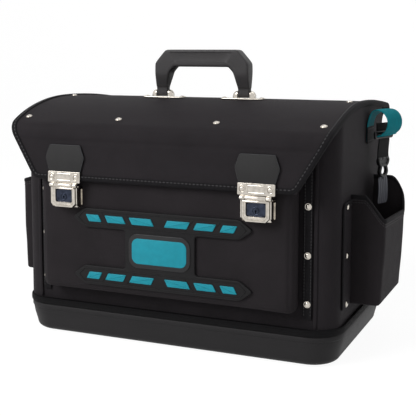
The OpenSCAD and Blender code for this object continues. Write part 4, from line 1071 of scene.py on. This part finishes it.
def build_handle():
    """The grip as a swept bar. A station is an outer and an inner point, half a depth and a recess's share."""
    inner = GRIP_X - 18
    right = []
    for a in (math.pi / 2 * (1 - k / 6) * 0.98 for k in range(7)):
        z = -4.9 * math.sin(a)
        right.append((GRIP_X - 0.3, z, inner + 0.3, z, 4.9 * math.cos(a) + 0.1, 0))
    right += [(GRIP_X - a, oz, inner - b, iz, d, share) for a, oz, b, iz, d, share in (
        (0.3, 4, -0.3, 4, 5, 0), (0.2, 8.6, -0.2, 8.6, 5.1, 0),
        (0, 9.6, 0, 9.6, 6.2, 0), (0, 12, 0.4, 12, 6.9, 0),
        (0, 20, 2.3, 19.5, 9.3, 0), (0, 28, 4.3, 27.5, 11.4, 0), (0, 38.5, 5.6, 31, 11.5, 0),
        (0.3, 43.8, 8, 33.7, 11.5, 0), (2.2, 47, 9.3, 35.1, 11.5, 0), (8.5, 54.2, 11.2, 37.2, 11.5, 0),
        (14.8, 61.4, 13, 38.7, 11.5, 0), (17.6, 63.6, 15, 39, 11.5, 0), (22, 64, 17.5, 39.1, 11.5, 0),
        (26, 64, 20, 39, 11.5, 0.35))]
    right += [(x, 64, z, 39, 11.5, 1) for x, z in ((41, 33), (28, 25), (14, 13), (0, 0))]
    fine = [tuple(p + (q - p) * k / 3 for p, q in zip(a, b))
            for a, b in zip(right, right[1:]) for k in range(3)]
    arr = np.array(fine + [right[-1]])
    for _ in range(2):
        arr[22:-1] = (arr[21:-2] + 2 * arr[22:-1] + arr[23:]) / 4
    section = [(-1, 0), (-1, 0.62), (-0.985, 0.8), (-0.94, 0.92), (-0.86, 0.98), (-0.72, 1), (-0.5, 1),
               (-0.44, 0.995),
               (-0.4, 0.9), (-0.2, 0.88), (0.15, 0.875), (0.45, 0.88), (0.66, 0.9), (0.7, 0.995), (0.78, 1),
               (0.87, 0.98), (0.945, 0.92), (0.985, 0.8), (1, 0.62), (1, 0)]
    section += [(t, -d) for t, d in reversed(section[1:-1])]
    rings = []
    for ox, oz, ix, iz, d, share in [*arr, *(arr[-2::-1] * (-1, 1, -1, 1, 1, 1))]:
        ring = []
        for t, f in section:
            if abs(t) < 0.71 and abs(f) < 0.96:
                f = math.copysign(1 - (1 - abs(f)) * share, f)
            ring.append(((ox + ix + (ox - ix) * t) / 2, PIVOT.y + d * f,
                         PIVOT.z + (oz + iz + (oz - iz) * t) / 2))
        rings.append(ring)
    piece("grip", loft(rings, caps=True), HANDLE, "handle", "handle_plastic", "handle_grip", sharp=28)


def build_handle_plates():
    for side, name in SIDES:
        low, high = box(f"handle_plate_{name}")
        base, leg = RIDGE_Z + 0.3, side * (GRIP_X - 9)
        parts = [plate(rectangle(low.x, low.y, high.x, high.y, 3, 5), base, base + 2, lambda *p: p, 0.6)]
        for t in SIGNS:
            rings = []
            for share in (0.0, 0.12, 0.35, 0.6, 0.8, 0.93, 1.0):
                x = leg + t * (9.5 + 7.5 * share)
                fall = math.sqrt(max(1 - (share * 0.96) ** 2.4, 0.02))
                r, top = 5 * (0.35 + 0.65 * fall), PIVOT.z + 5 * fall - (1 - fall) * 2
                rings.append([(x, PIVOT.y + r * c, top - r + r * s) for c, s in circle(24)[:13]]
                             + [(x, PIVOT.y + y, base + 1.6) for y in (-r, r)])
            parts.append(loft(rings, caps=True))
        piece(f"handle_base_{name}", joined(parts), NICKEL, "lid", "nickel", f"handle_plate_{name}", sharp=35)


# Side strap
LOOP_LOW, LOOP_HIGH = box("strap_loop")
STRAP_Y = (LOOP_LOW.y + LOOP_HIGH.y) / 2
LOOP_X, LOOP_Z, LOOP_R = 256.8, 311, 17.9
STRAP_TURN = math.radians(20)
STRAP_FACE = (math.cos(STRAP_TURN), -math.sin(STRAP_TURN), 0)


def turned(x, y, z, share=1.0):
    """A point of the strap's hardware, turned about an upright so that it half faces the front."""
    c, s = math.cos(STRAP_TURN * share), math.sin(STRAP_TURN * share)
    dx, dy = x - LOOP_X, y - STRAP_Y
    return (LOOP_X + dx * c + dy * s, STRAP_Y + dy * c - dx * s, z)


def webbing(path, half_w, half_t, seed, twist=lambda p: 1.0):
    """A flat strap through (x, z) places, its width along Y before it is turned."""
    pts = [Vector((x, STRAP_Y, z)) for x, z in path]
    rings = []
    for i, p in enumerate(pts):
        t = tangent(pts, i)
        out = Vector((t.z, 0, -t.x)).normalized()
        w = half_w + 0.3 * soft(p.x, p.z, 0, 15, seed)
        curl = 0.35 * soft(p.z, p.x, 0, 30, seed + 2)
        rings.append([turned(*(p + Vector((0, a * w, 0)) + out * (b * half_t + curl * a * a)), twist(p))
                      for a, b in ellipse_profile(1, 1, 16, 0.35)])
    return loft(rings, caps=True)


def build_strap():
    cx, cz, r, wall = LOOP_X, LOOP_Z, LOOP_R, BODY_X + 1.5
    path = [(wall, 284), (wall + 0.1, 296), (wall + 0.3, 308)]
    path += [(cx + r * math.cos(a), cz + r * math.sin(a))
             for a in (math.pi * (1 - 0.11 * k) for k in range(1, 13))]
    path += [(cx + 8.5, cz - r * 0.93), (cx + 3, cz - r * 1.02), (cx - 0.5, cz - r * 1.14)]
    loop = webbing(smooth_path(path), (LOOP_HIGH.y - LOOP_LOW.y) / 2 - 0.4, 1, 2,
                   lambda p: smoothstep((p.x - wall) / 16))
    piece("loop_webbing", loop, TEAL_WEB, "case", "teal_webbing", "strap_loop", sharp=60)
    rows = [seam((BODY_X + 2.9, STRAP_Y - 16, z), (BODY_X + 2.9, STRAP_Y + 16, z), (1, 0, 0))
            for z in (284.5, 301.5)]
    piece("loop_stitches", joined(rows), THREAD, "case", "fabric")
    foot = plate(rectangle(STRAP_Y - 19.5, 281, STRAP_Y + 19.5, 305, 3), 0.3, 1.6,
                 lambda y, z, h: (BODY_X + 1.2 + h, y, z), 0.5)
    piece("loop_foot", foot, TAPE, "case", "binding", sharp=50)
    low, high = box("strap_slider")
    x, edge = (low.x + high.x) / 2, 1.9
    rim = rectangle(low.y + edge, low.z + edge, high.y - edge, high.z - edge, 2.4, 5)
    parts = [beam([turned(x, y, z) for y, z in rim], STRAP_FACE, 1.75, 1.9, 12, 0.6, closed=True),
             beam([turned(x + 0.4, y, 293.6) for y in (low.y + 2, STRAP_Y, high.y - 2)], STRAP_FACE,
                  1.3, 1.3, 12, 0.7)]
    piece("slider_frame", joined(parts), CLIP, "case", "clip_plastic", "strap_slider", sharp=50)
    low, high = box("strap_tail")
    x = (low.x + high.x) / 2
    path = [(x + dx, z) for dx, z in ((-3, 310), (-2.4, 300), (-0.4, 291.5), (1, 287), (0.6, 281), (-0.2, 273),
                                      (-0.4, 266), (0, 261.5))]
    tail = webbing(smooth_path(path), (high.y - low.y) / 2 - 0.3, 1.1, 5)
    piece("tail_webbing", tail, BLACK_WEB, "case", "black_webbing", "strap_tail", sharp=60)
    build_hook()


def build_hook():
    low, high = box("snap_hook")
    x, z0 = (low.x + high.x) / 2, high.z - 2

    def spot(y, z):
        return (x, STRAP_Y + y, z0 + z)
    parts = [loft([[(x + r * c, STRAP_Y + y, z0 + r * s) for c, s in circle(16)]
                   for y, r in ((a, 1.5), (a + 0.5, 2), (b - 0.5, 2), (b, 1.5))], caps=True)
             for a, b in ((-13.6, -5.2), (-4.6, 4.6), (5.2, 13.6))]
    body = [(-11, -1), (-11.6, -4), (-9.5, -8), (-6.5, -11), (-7.8, -15), (-8.6, -19), (-6.4, -23)]
    body += [(0, -25.2)] + [(-y, z) for y, z in reversed(body)]
    web = round_corners([(-9.5, -1.5), (9.5, -1.5), (8.6, -7.6), (5.4, -9.6), (-5.4, -9.6), (-8.6, -7.6)], 1.5)
    parts += [beam([spot(*p) for p in smooth_path(body, 4)], (1, 0, 0), 2, 3, 14, 0.6),
              beam([spot(*p) for p in ((-7, -10.6), (0, -9.2), (7, -10.6))], (1, 0, 0), 2.2, 2.7, 14, 0.6),
              plate(web, -1.1, 1.1, lambda y, z, h: (x + h, STRAP_Y + y, z0 + z), 0.5)]
    verts, faces = joined(parts)
    piece("hook_body", ([turned(*v) for v in verts], faces), CLIP, "strap_hook", "clip_plastic",
          "snap_hook", sharp=45)
    build_tag(x, z0)


def build_tag(x, z0):
    """The hanging tag, bent a little, and the link that holds it."""
    low, high = box("hang_tag")
    tall, r = high.z - low.z, 2.2
    ys = [y for y, _ in round_corners([(low.y + 0.3, low.z), (high.y - 0.3, low.z), (high.y - 1.3, high.z),
                                       (low.y + 1.3, high.z)], 2.5, 5)]
    mid, half = (min(ys) + max(ys)) / 2, (max(ys) - min(ys)) / 2
    rings = []
    for k in range(13):
        up = tall * k / 12
        w = half - 0.9 * up / tall - r * (1 - math.sqrt(1 - (1 - min(up / r, (tall - up) / r, 1)) ** 2))
        bend = 1.2 * math.sin(math.pi * k / 12)
        rings.append([turned(x + b * 0.45 + bend, mid + a * w, low.z + up)
                      for a, b in ellipse_profile(1, 1, 20, 0.3)])
    piece("tag_plate", loft(rings, caps=True), TAG, "strap_hook", "tag", "hang_tag", sharp=50)
    link = [(x, STRAP_Y, z0 - 25.5), (x + 0.6, STRAP_Y, z0 - 28), (x + 0.7, STRAP_Y, high.z - 3.5)]
    piece("tag_link", beam(smooth_path(link, 5), (1, 0.1, 0), 0.8, 0.8, 10), CLIP, "strap_hook", "clip_plastic")


# CAD pieces that keep their own shape
def dress_nodes():
    own = {"floor_board": BOARD, "lid_front_bar": ALUMINIUM, "lid_handle_rail": ALUMINIUM, "hasp_pins": STEEL,
           "handle_pins": STEEL, "lock_base_left": NICKEL, "lock_base_right": NICKEL}
    for name, material in own.items():
        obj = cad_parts[name]
        for item in obj.material_slots:
            item.material = material
        edge = obj.modifiers.new("edge", "BEVEL")
        edge.width, edge.segments, edge.limit_method = 0.3 * MM, 2, "ANGLE"
        edge.angle_limit, edge.harden_normals = math.radians(40), False


# Studio
def mix_seen(tree, out, hidden, seen, share):
    """Lets camera, mirror and glass rays see one shader and all others a second one."""
    rays = node(tree, "ShaderNodeLightPath").outputs
    seeing = math_node(tree, "MAXIMUM", rays["Is Camera Ray"],
                       math_node(tree, "MAXIMUM", rays["Is Glossy Ray"], rays["Is Transmission Ray"]))
    mix = node(tree, "ShaderNodeMixShader")
    sockets = math_node(tree, "MULTIPLY", seeing, share), hidden.outputs[0], seen.outputs[0]
    for socket, place in zip(sockets, mix.inputs):
        tree.links.new(socket, place)
    tree.links.new(mix.outputs[0], node(tree, out).inputs[0])


def empty_tree(owner):
    owner.use_nodes = True
    owner.node_tree.nodes.clear()
    return owner.node_tree


def add(name, data):
    obj = bpy.data.objects.new(name, data)
    bpy.context.scene.collection.objects.link(obj)
    return obj


def build_studio():
    scene, white = bpy.context.scene, (1, 1, 1, 1)
    line = smooth_path([(-4.5, 0), (-1, 0), (1.2, 0), (2, 0.03), (2.6, 0.16), (3.1, 0.5), (3.4, 1), (3.5, 1.8),
                        (3.5, 4)], 5)
    verts, faces = loft([[(x, y, z) for x in (-7, -2.3, 2.3, 7)] for y, z in line], close_ring=False)
    mesh = bpy.data.meshes.new("backdrop")
    mesh.from_pydata(verts, [], faces)
    for face in mesh.polygons:
        face.use_smooth = True
    paper = bpy.data.materials.new("paper")
    mesh.materials.append(paper)
    tree = empty_tree(paper)
    mix_seen(tree, "ShaderNodeOutputMaterial", node(tree, "ShaderNodeBsdfDiffuse", Color=(0.82, 0.82, 0.82, 1)),
             node(tree, "ShaderNodeEmission", Color=white, Strength=1.17), 0.8)
    add("backdrop", mesh)

    scene.world = bpy.data.worlds.new("studio")
    tree = empty_tree(scene.world)
    ambient = node(tree, "ShaderNodeBackground", Color=white)
    way = node(tree, "ShaderNodeTexCoord").outputs["Generated"]
    high = math_node(tree, "MAXIMUM", axes(tree, way)["Z"], 0.0)
    tree.links.new(math_node(tree, "SUBTRACT", 0.40, math_node(tree, "MULTIPLY", high, 0.37)),
                   ambient.inputs["Strength"])
    plain = node(tree, "ShaderNodeBackground", Color=white, Strength=1.0)
    mix_seen(tree, "ShaderNodeOutputWorld", ambient, plain, 1.0)

    for name, place, size, power in (("key", (-1.5, -2.4, 1.9), 1.7, 70), ("top", (0.4, 0.1, 1.9), 1.6, 5),
                                     ("side", (2.6, -0.9, 1.2), 1.2, 4)):
        light = bpy.data.lights.new(name, "AREA")
        light.shape, light.size, light.energy = "DISK", size, power
        obj = add(name, light)
        obj.location = place
        obj.rotation_euler = (Vector((0, 0, 0.2)) - Vector(place)).to_track_quat("-Z", "Y").to_euler()

    camera = bpy.data.cameras.new("camera")
    camera.lens, camera.sensor_width = CAMERA_LENS, 36
    camera.shift_x, camera.shift_y = CAMERA_SHIFT
    scene.camera = add("camera", camera)
    scene.camera.location = CAMERA_PLACE
    scene.camera.rotation_euler = (math.pi / 2 - CAMERA_PITCH, CAMERA_ROLL, CAMERA_YAW)
    scene.view_settings.view_transform = "Standard"


for build in (build_studio, build_base, build_walls, build_panel, build_strips, build_rivets, build_badge,
              build_pockets, build_lid, build_tabs, build_strikes, build_hasps, build_handle,
              build_handle_plates, build_strap, dress_nodes):
    build()
